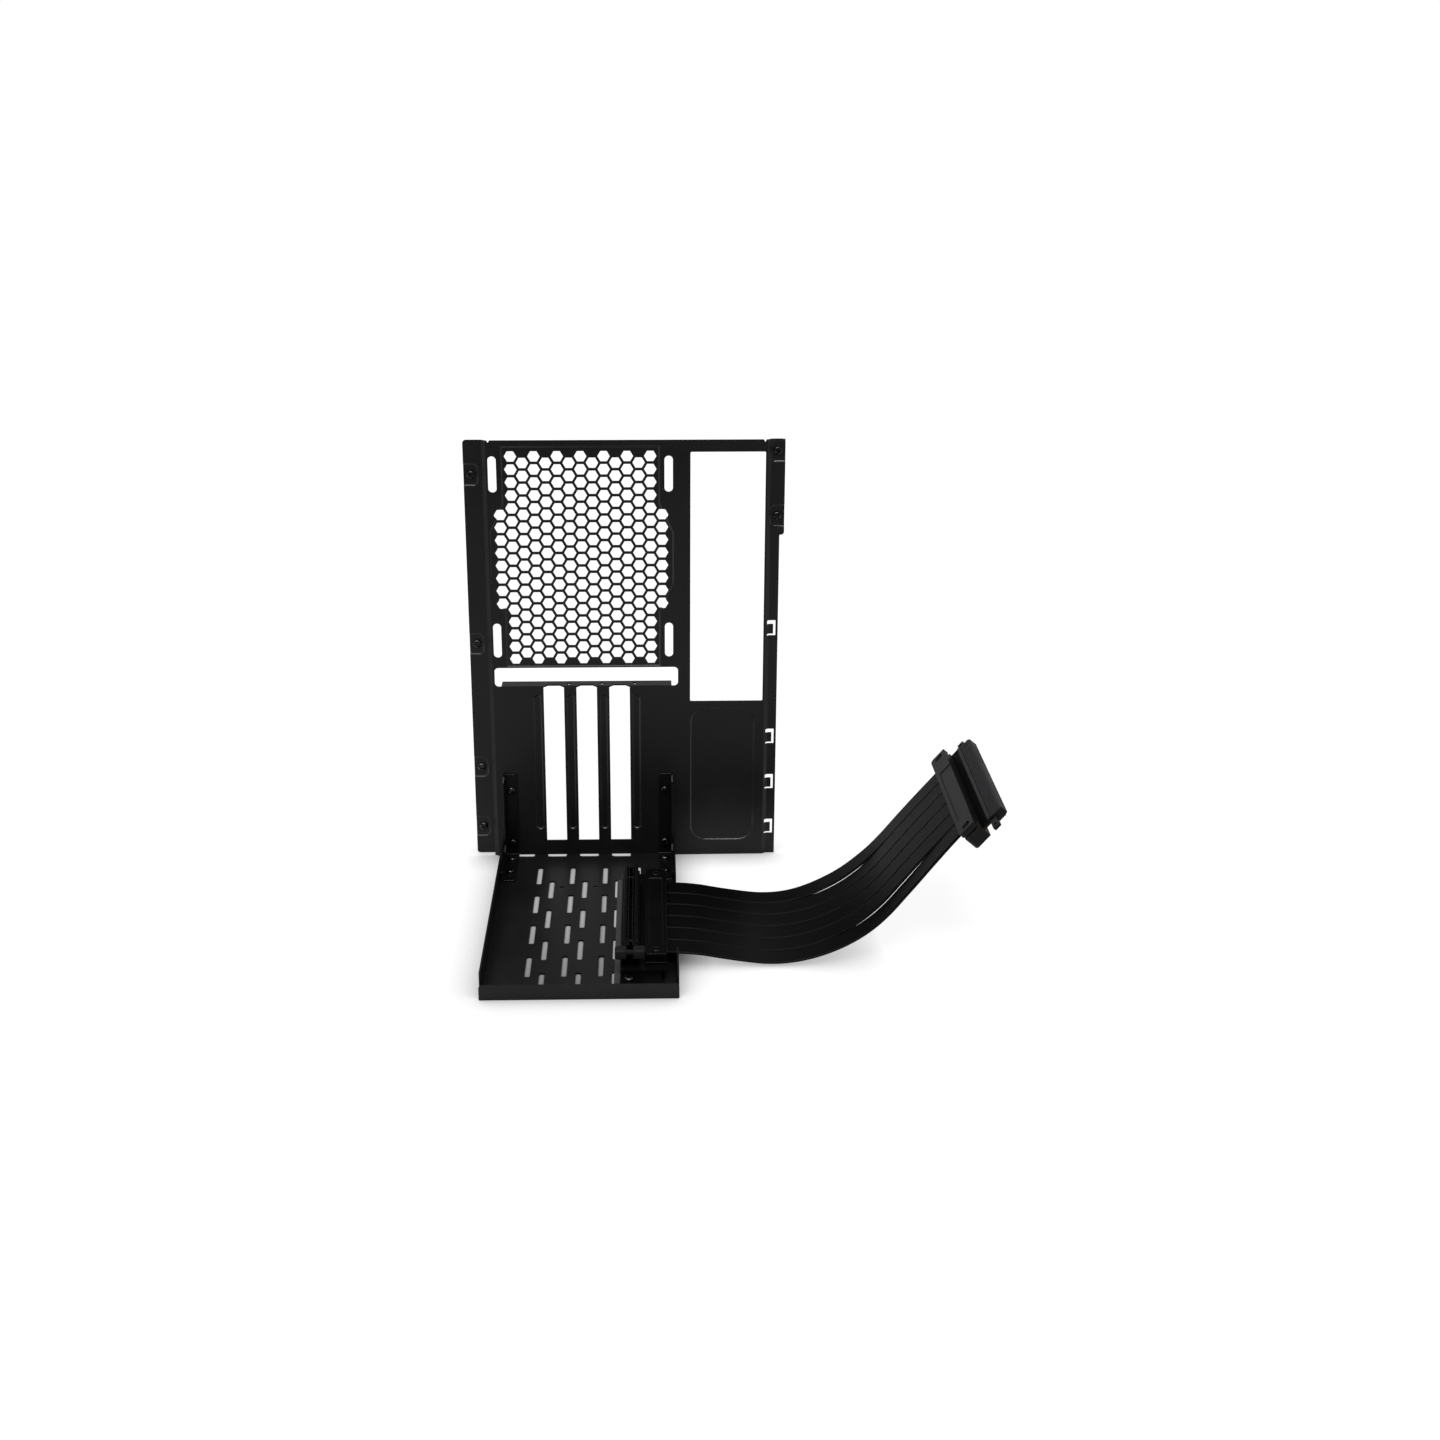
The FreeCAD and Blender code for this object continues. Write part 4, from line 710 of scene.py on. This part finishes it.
@dataclass
class ThumbLatch(SoftenedNodes):
    """The socket's latch: the solid's lever, with two rounded thumb ears and a thin bridge between them.

    The ears take the place of the solid's plain block in front of the plane ears_back, and lie inside it.
    blocks holds the centres and the half sizes of both ears and of the bridge, in millimetres.
    """

    ears_back: float = -45.2 * MM
    blocks: tuple[tuple[Place, Place], ...] = (
        ((22.45, -48.05, 16.6), (3.35, 3.05, 2.9)),
        ((32.55, -48.05, 16.6), (3.35, 3.05, 2.9)),
        ((27.5, -50.2, 18.2), (2.5, 0.7, 1.1)),
    )
    softness: float = 0.28
    around: int = 64

    def block(self, centre: Place, half: Place) -> Array:
        """Return the grid of points of a box with soft corners, from pole to pole.

        It is a superellipsoid: an ellipsoid whose sines and cosines are raised to the power softness.

        Args:
            centre: Middle of the box, in millimetres.
            half: Half sizes of the box, in millimetres.

        Returns:
            Positions in metres, a row per height and a column per step round.
        """
        turn = np.linspace(0.0, 2.0 * math.pi, self.around, endpoint=False)[None, :]
        rise = np.linspace(-math.pi / 2, math.pi / 2, self.around // 2 + 1)[:, None]
        waves = np.broadcast_arrays(np.cos(rise) * np.cos(turn), np.cos(rise) * np.sin(turn), np.sin(rise))
        unit = np.stack(waves, axis=-1)
        return (np.array(centre) + np.sign(unit) * np.abs(unit) ** self.softness * np.array(half)) * MM

    def copy(self, node: str) -> Piece:
        """Copy the latch, cut its plain block off and put the ears and the bridge in its place.

        Args:
            node: Name of the solid node.

        Returns:
            The latch, with its rounding as a modifier.
        """
        piece = super().copy(node)
        points, faces = joined([self.block(centre, half) for centre, half in self.blocks])
        ears = new_mesh("ears", points, faces.tolist())
        ears.polygons.foreach_set("material_index", np.full(len(faces), RIM, dtype=np.int32))
        work = bmesh.new()
        work.from_mesh(piece.data)
        cut = bmesh.ops.bisect_plane(
            work,
            geom=[*work.verts, *work.edges, *work.faces],
            plane_co=(0.0, self.ears_back, 0.0),
            plane_no=FORWARD,
            clear_outer=True,
        )
        outline = [part for part in cut["geom_cut"] if isinstance(part, bmesh.types.BMEdge)]
        bmesh.ops.holes_fill(work, edges=outline)
        work.from_mesh(ears)
        work.to_mesh(piece.data)
        work.free()
        bpy.data.meshes.remove(ears)
        close(piece)
        smooth(piece, Crease.EASED)
        return piece


@dataclass
class ScrewSet:
    """Pan-head screws with a crossed recess, in place of one node of plain screws.

    Lengths are millimetres. axis points from the shank to the head and is square to X. seats are the places
    under each head, on the face that it presses, as in the solid model. The recess's arm, reach and bevel
    are shares of the head's radius, and its depth is a share of the head's height.
    """

    node: str
    axis: Place
    seats: tuple[Place, ...]
    shank: float
    shank_radius: float = 1.4
    shank_top: float = -0.05
    head_radius: float = 2.7
    head_height: float = 1.8
    thread: float = 0.7
    thread_depth: float = 0.22
    recess_arm: float = 0.13
    recess_reach: float = 0.6
    recess_bevel: float = 0.05
    recess_depth: float = 0.75
    turns: tuple[float, ...] = (0.4, 1.1, 0.15, 0.8, 0.6, 1.3)
    around: int = 64
    across: int = 30
    along: int = 26

    def profile(self) -> tuple[Array, Array]:
        """Return the outline that is turned round the axis, from the shank's tip to the head's middle.

        The shank's radius has a saw-like ripple for its thread. The head's height above the seat is
        head_height times (1 - (r / R) ^ 3.4) ^ 0.42, a flat crown that falls steeply at the rim.

        Returns:
            Radii and heights above the seat.
        """
        down = np.linspace(-self.shank, self.shank_top, self.along)
        wave = np.abs((down / self.thread) % 1.0 - 0.5) * 2.0
        thread = self.shank_radius - self.thread_depth * wave
        radius = np.linspace(1.0, 0.0, self.across) * self.head_radius
        crown = self.head_height * (1.0 - (radius / self.head_radius) ** 3.4) ** 0.42
        radii = np.concatenate([[0.0], thread, radius])
        heights = np.concatenate([[-self.shank], down, crown])
        return radii, heights

    def recess(self, x: Array, y: Array) -> Array:
        """Return how deep the cross is: one inside either arm, and eased to nought across its sides.

        Args:
            x: Places on the head along one arm.
            y: Places on the head along the other arm.

        Returns:
            Shares of the recess's depth.
        """
        shares = np.array([self.recess_arm, self.recess_reach, self.recess_bevel])
        arm, reach, bevel = shares * self.head_radius
        first = np.minimum((arm - np.abs(x)) / bevel, (reach - np.abs(y)) / bevel)
        second = np.minimum((arm - np.abs(y)) / bevel, (reach - np.abs(x)) / bevel)
        return ease(np.clip(np.maximum(first, second) * 0.5 + 0.5, 0.0, 1.0))

    def one(self, seat: Place, turn: float) -> Array:
        """Return one screw's grid of points: the outline turned upright and then laid along the axis.

        Args:
            seat: Where the head meets the sheet.
            turn: How far the cross is turned, in radians.

        Returns:
            Positions in metres, a row per outline point and a column per step round.
        """
        radii, heights = self.profile()
        angle = np.linspace(0.0, 2.0 * math.pi, self.around, endpoint=False)
        x = radii[:, None] * np.cos(angle)[None, :]
        y = radii[:, None] * np.sin(angle)[None, :]
        cos, sin = math.cos(turn), math.sin(turn)
        sink = self.recess(x * cos + y * sin, y * cos - x * sin) * self.recess_depth * self.head_height
        z = heights[:, None] - (heights > 0.0)[:, None] * sink
        up = np.array(self.axis)
        side = np.cross(up, [1.0, 0.0, 0.0])
        other = np.cross(up, side)
        return (np.array(seat) + x[..., None] * side + y[..., None] * other + z[..., None] * up) * MM

    def build(self) -> None:
        """Make the node's screws as one piece."""
        points, faces = joined([self.one(seat, turn) for seat, turn in zip(self.seats, self.turns)])
        name = f"{self.node}_turned"
        piece = place_object(name, new_mesh(name, points, faces.tolist()))
        close(piece)
        smooth(piece, Crease.SCREW)
        dress(piece, BLACK_ZINC.build())
        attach(piece, Body.FRAME.value)
        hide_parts(self.node)
        LOG.info("%s, %d screws", self.node, len(self.seats))


SCREWS = (
    ScrewSet(
        "panel_screws",
        axis=FORWARD,
        seats=(
            (-66.7, 101.6, 20.3),
            (-66.7, 101.6, 61.1),
            (-66.7, 101.6, 143.2),
            (-66.7, 101.6, 250.3),
            (116.1, 101.6, 224.0),
            (116.1, 101.6, 264.3),
        ),
        shank=6.0,
    ),
    ScrewSet(
        "upright_screws",
        axis=FORWARD,
        seats=((-48.25, 98.0, 10.0), (-48.25, 98.0, 46.0), (48.25, 98.0, 10.0), (48.25, 98.0, 46.0)),
        shank=4.0,
    ),
    ScrewSet(
        "foot_screws",
        axis=UP,
        seats=((-48.25, 91.0, 2.0), (-48.25, 74.5, 2.0), (48.25, 91.0, 2.0), (48.25, 74.5, 2.0)),
        shank=1.9,
    ),
    ScrewSet("bracket_screws", axis=UP, seats=((27.0, 57.0, 6.1), (27.0, -58.0, 6.1)), shank=5.0),
    ScrewSet(
        "clamp_screws",
        axis=UP,
        seats=((42.0, 47.3, 13.3), (42.0, -40.9, 13.3)),
        shank=7.2,
        shank_radius=1.0,
        head_radius=1.9,
        head_height=1.2,
    ),
)


# The flat cable's side view, as in the solid model: distance along X and height, in millimetres.
CABLE_ROUTE = (
    (38.0, 10.0),
    (60.2, 10.0),
    (83.3, 5.2),
    (110.9, 1.3),
    (138.6, 7.5),
    (164.7, 24.6),
    (185.7, 52.0),
    (200.0, 69.6),
    (214.0, 86.2),
)


@dataclass
class FlatCable:
    """The flat riser cable: parallel strips that leave the clamp and rise to the plug.

    The outer strips bow out of the cable's plane where it rises: bow gives a strip's number, how far it
    moves and the shares of the cable's length between which it does so. bow_ease is the share of that
    stretch over which it leaves the plane.
    """

    strips: int = 6
    width: float = 13.46 * MM
    thickness: float = 1.6 * MM
    edge_round: float = 0.7 * MM
    conductors: int = 5
    ripple: float = 0.07 * MM
    length: float = 0.2113
    section_points: int = 64
    span_steps: int = 16
    bow: dict[int, tuple[float, float, float]] = field(
        default_factory=lambda: {1: (1.15 * MM, 0.36, 0.76), 6: (-1.2 * MM, 0.42, 0.99)}
    )
    bow_ease: float = 0.4
    plug_pieces: tuple[str, ...] = (
        "plug_cover_top",
        "plug_cover_bottom",
        "plug_screws",
        "plug_board",
        "contact_cap",
    )

    def route(self, middle: float) -> Array:
        """Return points of one strip's centre line.

        The route's points are the control points of a quadratic NURBS line, which Blender evaluates.

        Args:
            middle: Place of the strip's centre line along Y.

        Returns:
            Positions along the line, one row each.
        """
        curve = bpy.data.curves.new("cable_route", "CURVE")
        curve.dimensions = "3D"
        spline = curve.splines.new("NURBS")
        spline.points.add(len(CABLE_ROUTE) - 1)
        for point, (x, z) in zip(spline.points, CABLE_ROUTE):
            point.co = (x * MM, middle, z * MM, 1.0)
        spline.order_u = 3
        spline.use_endpoint_u = True
        spline.resolution_u = self.span_steps
        holder = place_object("cable_route", curve)
        bpy.context.view_layer.update()
        graph = bpy.context.evaluated_depsgraph_get()
        mesh = bpy.data.meshes.new_from_object(holder.evaluated_get(graph))
        line = np.empty(len(mesh.vertices) * 3)
        mesh.vertices.foreach_get("co", line)
        bpy.data.objects.remove(holder)
        bpy.data.curves.remove(curve)
        bpy.data.meshes.remove(mesh)
        return line.reshape(-1, 3)

    def section(self) -> Array:
        """Return a strip's section: a flat band with rounded edges and soft ridges over its conductors.

        The half thickness falls to nothing at the edges over edge_round, along a quarter circle. A cosine
        ripple over the conductors is taken from the half thickness.

        Returns:
            Offsets across and out of the strip, one row each, in order round the section.
        """
        half = self.width / 2
        turn = np.linspace(0.0, math.pi, self.section_points // 2)
        across = -half * np.sin(math.pi / 2 * np.cos(turn))
        inside = np.clip((half - np.abs(across)) / self.edge_round, 0.0, 1.0)
        edge = np.sqrt(np.clip(1.0 - (1.0 - inside) ** 2, 0.0, 1.0))
        waves = np.cos(across / self.width * 2.0 * math.pi * self.conductors)
        out = edge * (self.thickness / 2 - self.ripple * (0.5 - 0.5 * waves))
        top = np.stack([across, out], axis=1)
        bottom = np.stack([across[::-1], -out[::-1]], axis=1)[1:-1]
        return np.concatenate([top, bottom])

    def bowed(self, number: int, travel: Array) -> Array:
        """Return how far a strip lies off the cable's plane, eased at both ends of its stretch.

        Args:
            number: The strip's number, from one.
            travel: Places along the cable, as shares of its length.

        Returns:
            The distance off the plane at each place.
        """
        size, start, end = self.bow.get(number, (0.0, 0.0, 1.0))
        place = np.clip((travel - start) / (end - start), 0.0, 1.0)
        return size * ease(np.clip(np.minimum(place, 1.0 - place) / self.bow_ease, 0.0, 1.0))

    def strip(self, number: int) -> tuple[Piece, Array]:
        """Carry the section along one strip's line.

        Args:
            number: The strip's number, from one.

        Returns:
            The strip and its centre line.
        """
        low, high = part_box(f"ribbon_strip_{number}")
        line = self.route((low[1] + high[1]) / 2)
        along = np.gradient(line, axis=0)
        along /= np.linalg.norm(along, axis=1, keepdims=True)
        across = np.array([0.0, 1.0, 0.0])
        out = np.cross(along, across)
        out *= np.sign(out[:, 2:3])
        steps = np.linalg.norm(np.diff(line, axis=0), axis=1)
        travel = np.concatenate([[0.0], np.cumsum(steps)])
        line += out * self.bowed(number, travel / travel[-1])[:, None]
        shape = self.section()
        sideways = shape[None, :, 0:1] * across[None, None, :]
        points = line[:, None, :] + sideways + shape[None, :, 1:2] * out[:, None, :]
        rings, around = points.shape[:2]
        start = list(range(around))
        end = list(range(rings * around - 1, (rings - 1) * around - 1, -1))
        faces = [*ring_faces(rings, around).tolist(), start, end]
        name = f"cable_strip_{number}"
        piece = place_object(name, new_mesh(name, points.reshape(-1, 3), faces))
        close(piece, merge=0.0)
        self.unwrap(piece, travel, shape[:, 0] + number * self.width)
        smooth(piece, Crease.CABLE)
        dress(piece, CABLE_FILM.build())
        return piece, line

    def unwrap(self, piece: Piece, travel: Array, across: Array) -> None:
        """Map the jacket: u is the distance along the cable and v the distance across it, in metres.

        Args:
            piece: The strip, whose corners are in order ring after ring.
            travel: Distance along the cable of each ring.
            across: Distance across the cable of each point of a ring.
        """
        layer = piece.data.uv_layers.new(name=STRIP_MAP)
        corners = np.empty(len(piece.data.loops), dtype=int)
        piece.data.loops.foreach_get("vertex_index", corners)
        places = np.stack([travel[corners // len(across)], across[corners % len(across)]], axis=1)
        layer.data.foreach_set("uv", places.ravel())

    def build(self) -> None:
        """Make every strip and say what it is."""
        for number in range(1, self.strips + 1):
            piece, line = self.strip(number)
            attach(piece, Body.FRAME.value)
            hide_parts(f"ribbon_strip_{number}")
            LOG.info("cable strip %d", number)


@dataclass(frozen=True)
class Lamp:
    """One large, even light far away.

    toward points from the object to the light, spread is the angle in degrees that the light fills, and
    power is the light on a surface that faces it, in watts per square metre.
    """

    name: str
    toward: Place
    spread: float
    power: float

    def build(self) -> None:
        """Hang the light."""
        data = bpy.data.lights.new(self.name, "SUN")
        data.angle = math.radians(self.spread)
        data.energy = self.power
        holder = place_object(self.name, data)
        holder.rotation_euler = Vector(self.toward).to_track_quat("Z", "Y").to_euler()


@dataclass
class Studio:
    """Pale floor, soft lights and the camera at the photograph's place.

    Focal length, picture and principal point are pixels. The floor carries painted shade: it is dimmed
    within contact of what stands on it, down to contact_least off and under the cable, which lies from
    cable_x on and up to cable_y. Under the tray, within tray_x and tray_y, its painted shade is
    slot_painted_shade over the stretch slot_y. There it fades to black over the range pit of openness,
    apart from the slots from channel_x on, which the channel half covers. Reflections see less of the floor
    over the stretch mirror_y, down to mirror_least, and they see the sky in gloss_light over the range
    gloss_rise of the direction's Z.
    """

    focal_pixels: float = 1673.2
    picture: int = 1440
    principal: Pair = (684.93, 540.0)
    sensor_mm: float = 36.0
    clip: Pair = (0.01, 200.0)
    eye: Place = (40.05 * MM, -866.24 * MM, 499.45 * MM)
    pitch: float = 0.2916
    yaw: float = 0.0214
    roll: float = 0.0009
    floor_half: float = 40.0
    paper: str = "#f2f2f2"
    paper_shown: float = 1.06
    paper_glow: float = 0.92
    tray_x: Pair = (-54.0 * MM, 54.0 * MM)
    tray_y: Pair = (-68.0 * MM, 98.5 * MM)
    contact: float = 24.0 * MM
    contact_samples: int = 8
    contact_least: Pair = (0.05, 0.45)
    cable_x: Pair = (56.0 * MM, 75.0 * MM)
    cable_y: Pair = (75.0 * MM, 50.0 * MM)
    pit: Pair = (0.42, 0.8)
    channel_x: Pair = (15.0 * MM, 16.5 * MM)
    slot_y: Pair = (-68.0 * MM, 30.0 * MM)
    slot_painted_shade: Pair = (0.2, 0.42)
    mirror_y: Pair = (-1.1, -0.2)
    mirror_least: float = 0.1
    sky_light: float = 0.32
    gloss_rise: Pair = (-0.1, 0.9)
    gloss_light: Pair = (0.25, 0.8)
    lamps: tuple[Lamp, ...] = (
        Lamp("key_light", toward=(-0.4, -0.4, 0.82), spread=30.0, power=1.2),
        Lamp("top_light", toward=(0.05, -0.5, 0.86), spread=12.0, power=1.4),
    )

    def camera(self) -> None:
        """Set up the camera: its axes from pitch, yaw and roll, and its shift from the principal point."""
        forward = np.array(
            [
                math.sin(self.yaw) * math.cos(self.pitch),
                math.cos(self.yaw) * math.cos(self.pitch),
                -math.sin(self.pitch),
            ]
        )
        level = np.array([math.cos(self.yaw), -math.sin(self.yaw), 0.0])
        rise = np.cross(level, forward)
        right = math.cos(self.roll) * level + math.sin(self.roll) * rise
        up = -math.sin(self.roll) * level + math.cos(self.roll) * rise
        data = bpy.data.cameras.new("camera")
        data.sensor_width = self.sensor_mm
        data.lens = self.focal_pixels / self.picture * self.sensor_mm
        data.shift_x = (self.picture / 2 - self.principal[0]) / self.picture
        data.shift_y = (self.principal[1] - self.picture / 2) / self.picture
        data.clip_start, data.clip_end = self.clip
        holder = place_object("camera", data)
        turn = Matrix((right, up, -forward)).transposed().to_4x4()
        holder.matrix_world = Matrix.Translation(self.eye) @ turn
        bpy.context.scene.camera = holder

    def looked_at(self, tree: Tree) -> Socket:
        """Tell the rays that look at a surface from those that light another one.

        Args:
            tree: The node tree that takes the nodes.

        Returns:
            One for rays from the camera, a reflection or a clear material, and nought for light.
        """
        path = add_node(tree, "ShaderNodeLightPath")
        seen = path.outputs["Is Camera Ray"]
        for kind in ("Is Glossy Ray", "Is Transmission Ray"):
            seen = combine(tree, "MAXIMUM", seen, path.outputs[kind])
        return seen

    def shade(self, tree: Tree) -> Socket:
        """Return the paper's brightness with painted shade: dim in the tray's slots and close to anything
        that stands on it.

        Args:
            tree: The floor's node tree.

        Returns:
            One on the open floor, less in the shade.
        """
        reach = {"Distance": self.contact}
        nearby = add_node(tree, "ShaderNodeAmbientOcclusion", reach, samples=self.contact_samples)
        clear = nearby.outputs["AO"]
        place = add_node(tree, "ShaderNodeTexCoord").outputs["Object"]
        split = add_node(tree, "ShaderNodeSeparateXYZ", {"Vector": place})
        x, y = split.outputs["X"], split.outputs["Y"]
        cable = combine(tree, "MULTIPLY", ramp(tree, x, self.cable_x), ramp(tree, y, self.cable_y))
        least = ramp(tree, cable, target=self.contact_least)
        near = ramp(tree, clear, target=(least, 1.0))
        pit = combine(tree, "MAXIMUM", ramp(tree, clear, self.pit), ramp(tree, x, self.channel_x))
        # Painted shade under the tray: darker towards its front, and black where the slots and holes close
        # in.
        slots = combine(tree, "MULTIPLY", ramp(tree, y, self.slot_y, self.slot_painted_shade), pit)
        inside = combine(tree, "GREATER_THAN", x, self.tray_x[0])
        for test in (
            combine(tree, "LESS_THAN", x, self.tray_x[1]),
            combine(tree, "GREATER_THAN", y, self.tray_y[0]),
            combine(tree, "LESS_THAN", y, self.tray_y[1]),
        ):
            inside = combine(tree, "MULTIPLY", inside, test)
        tone = blend(tree, Mix.NUMBER, inside, near, slots)
        return combine(tree, "MULTIPLY", tone, self.mirrored(tree, y))

    def mirrored(self, tree: Tree, y: Socket) -> Socket:
        """Return what reflections see of the floor's brightness: less and less of it towards the front.

        Args:
            tree: The floor's node tree.
            y: The floor's place along Y.

        Returns:
            One for all other rays.
        """
        fall = ramp(tree, y, self.mirror_y, (self.mirror_least, 1.0))
        glossy = add_node(tree, "ShaderNodeLightPath").outputs["Is Glossy Ray"]
        return blend(tree, Mix.NUMBER, glossy, 1.0, fall)

    def floor(self) -> None:
        """Lay the pale floor, which shows white to the camera, keeps the shadow and carries the painted
        shade of shade().
        """
        half = self.floor_half
        corners = np.array([[-half, -half, 0.0], [half, -half, 0.0], [half, half, 0.0], [-half, half, 0.0]])
        piece = place_object("floor", new_mesh("floor", corners, [[0, 1, 2, 3]]))
        material = bpy.data.materials.new("white_paper_floor")
        tree = empty_tree(material)
        tone = self.shade(tree)
        lift = combine(tree, "MULTIPLY", tone, self.paper_glow)
        rest = combine(tree, "MULTIPLY", tone, self.paper_shown - self.paper_glow)
        glow = add_node(tree, "ShaderNodeEmission", {"Strength": lift}).outputs[0]
        faint = add_node(tree, "ShaderNodeBsdfDiffuse", {"Color": rest}).outputs[0]
        shown = add_node(tree, "ShaderNodeAddShader", {0: glow, 1: faint}).outputs[0]
        paper = add_node(tree, "ShaderNodeBsdfDiffuse", {"Color": linear(self.paper)}).outputs[0]
        sides = {0: self.looked_at(tree), 1: paper, 2: shown}
        surface = add_node(tree, "ShaderNodeMixShader", sides).outputs["Shader"]
        add_node(tree, "ShaderNodeOutputMaterial", {"Surface": surface})
        dress(piece, material)

    def sky(self) -> None:
        """Fill the world with even light, white to the camera and brighter high up to reflections."""
        world = bpy.data.worlds.new("studio")
        bpy.context.scene.world = world
        tree = empty_tree(world)
        way = add_node(tree, "ShaderNodeTexCoord").outputs["Generated"]
        rise = add_node(tree, "ShaderNodeSeparateXYZ", {"Vector": way}).outputs["Z"]
        glossy = add_node(tree, "ShaderNodeLightPath").outputs["Is Glossy Ray"]
        white = blend(tree, Mix.NUMBER, glossy, 1.0, ramp(tree, rise, self.gloss_rise, self.gloss_light))
        strength = ramp(tree, self.looked_at(tree), target=(self.sky_light, white))
        even = {"Color": (1.0, 1.0, 1.0, 1.0), "Strength": strength}
        shade = add_node(tree, "ShaderNodeBackground", even).outputs["Background"]
        add_node(tree, "ShaderNodeOutputWorld", {"Surface": shade})

    def build(self) -> None:
        """Set up the whole studio."""
        self.floor()
        self.sky()
        for lamp in self.lamps:
            lamp.build()
        self.camera()
        bpy.context.scene.view_settings.view_transform = "Standard"


# The rim finishes paint highlights on rounds, folds and pressed walls, and shade in the tray's slots and
# holes; the uprights are painted in shade.
PANEL = SoftenedNodes({"rear_panel": POWDER_COAT}, EDGE_HIGHLIGHT_COAT, edge=0.0, walls=(0.6 * MM, 2.0 * MM))
TRAY = SoftenedNodes({"tray": POWDER_COAT}, PAINTED_SHADE_COAT, holes=0.8 * MM)
UPRIGHTS = SoftenedNodes({"left_upright": PAINTED_SHADE_COAT, "right_upright": PAINTED_SHADE_COAT}, EDGE_HIGHLIGHT_COAT)
CHANNEL = SoftenedNodes(
    {"riser_bracket": CHANNEL_SHADE_AND_LIGHT_COAT},
    CHANNEL_HIGHLIGHT_COAT,
    edge=0.25 * MM,
    press=0.6 * MM,
    foot=4.0 * MM,
    folds=5.5 * MM,
)
MOULDINGS = SoftenedNodes(
    {"slot_socket": MOULDED_NYLON, "clamp_base": MOULDED_NYLON, "clamp_cover": MOULDED_NYLON},
    NYLON_EDGE_HIGHLIGHT,
    slot="black_plastic",
    edge=0.2 * MM,
)
LATCH = ThumbLatch(
    {"slot_latch": MOULDED_NYLON}, LATCH_GREYER_NYLON, Body.LATCH, slot="black_plastic", edge=0.2 * MM
)
# Solid nodes that are shown as they are, and their finishes.
KEPT_NODES = {
    "bracket_standoffs": TURNED_BRASS,
    "riser_board": RISER_MASK,
    "slot_contacts": SHADED_GOLD_PLATE,
    "plug_screws": BLACK_OXIDE,
    "plug_board": PLUG_MASK,
    "plug_cover_top": MOULDED_ABS,
    "plug_cover_bottom": MOULDED_ABS,
    "contact_cap": MOULDED_ABS,
}


def main() -> None:
    """Build the scene's pieces in order and report each one."""
    logging.basicConfig(level=logging.INFO, format="%(message)s")
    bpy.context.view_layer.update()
    Studio().build()
    for name, finish in KEPT_NODES.items():
        dress(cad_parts[name], finish.build())
        LOG.info("%s in %s", name, finish.name)
    for group in (PANEL, TRAY, UPRIGHTS, CHANNEL, MOULDINGS, LATCH):
        group.build()
    for screws in SCREWS:
        screws.build()
    FlatCable().build()


if __name__ == "__main__":
    main()
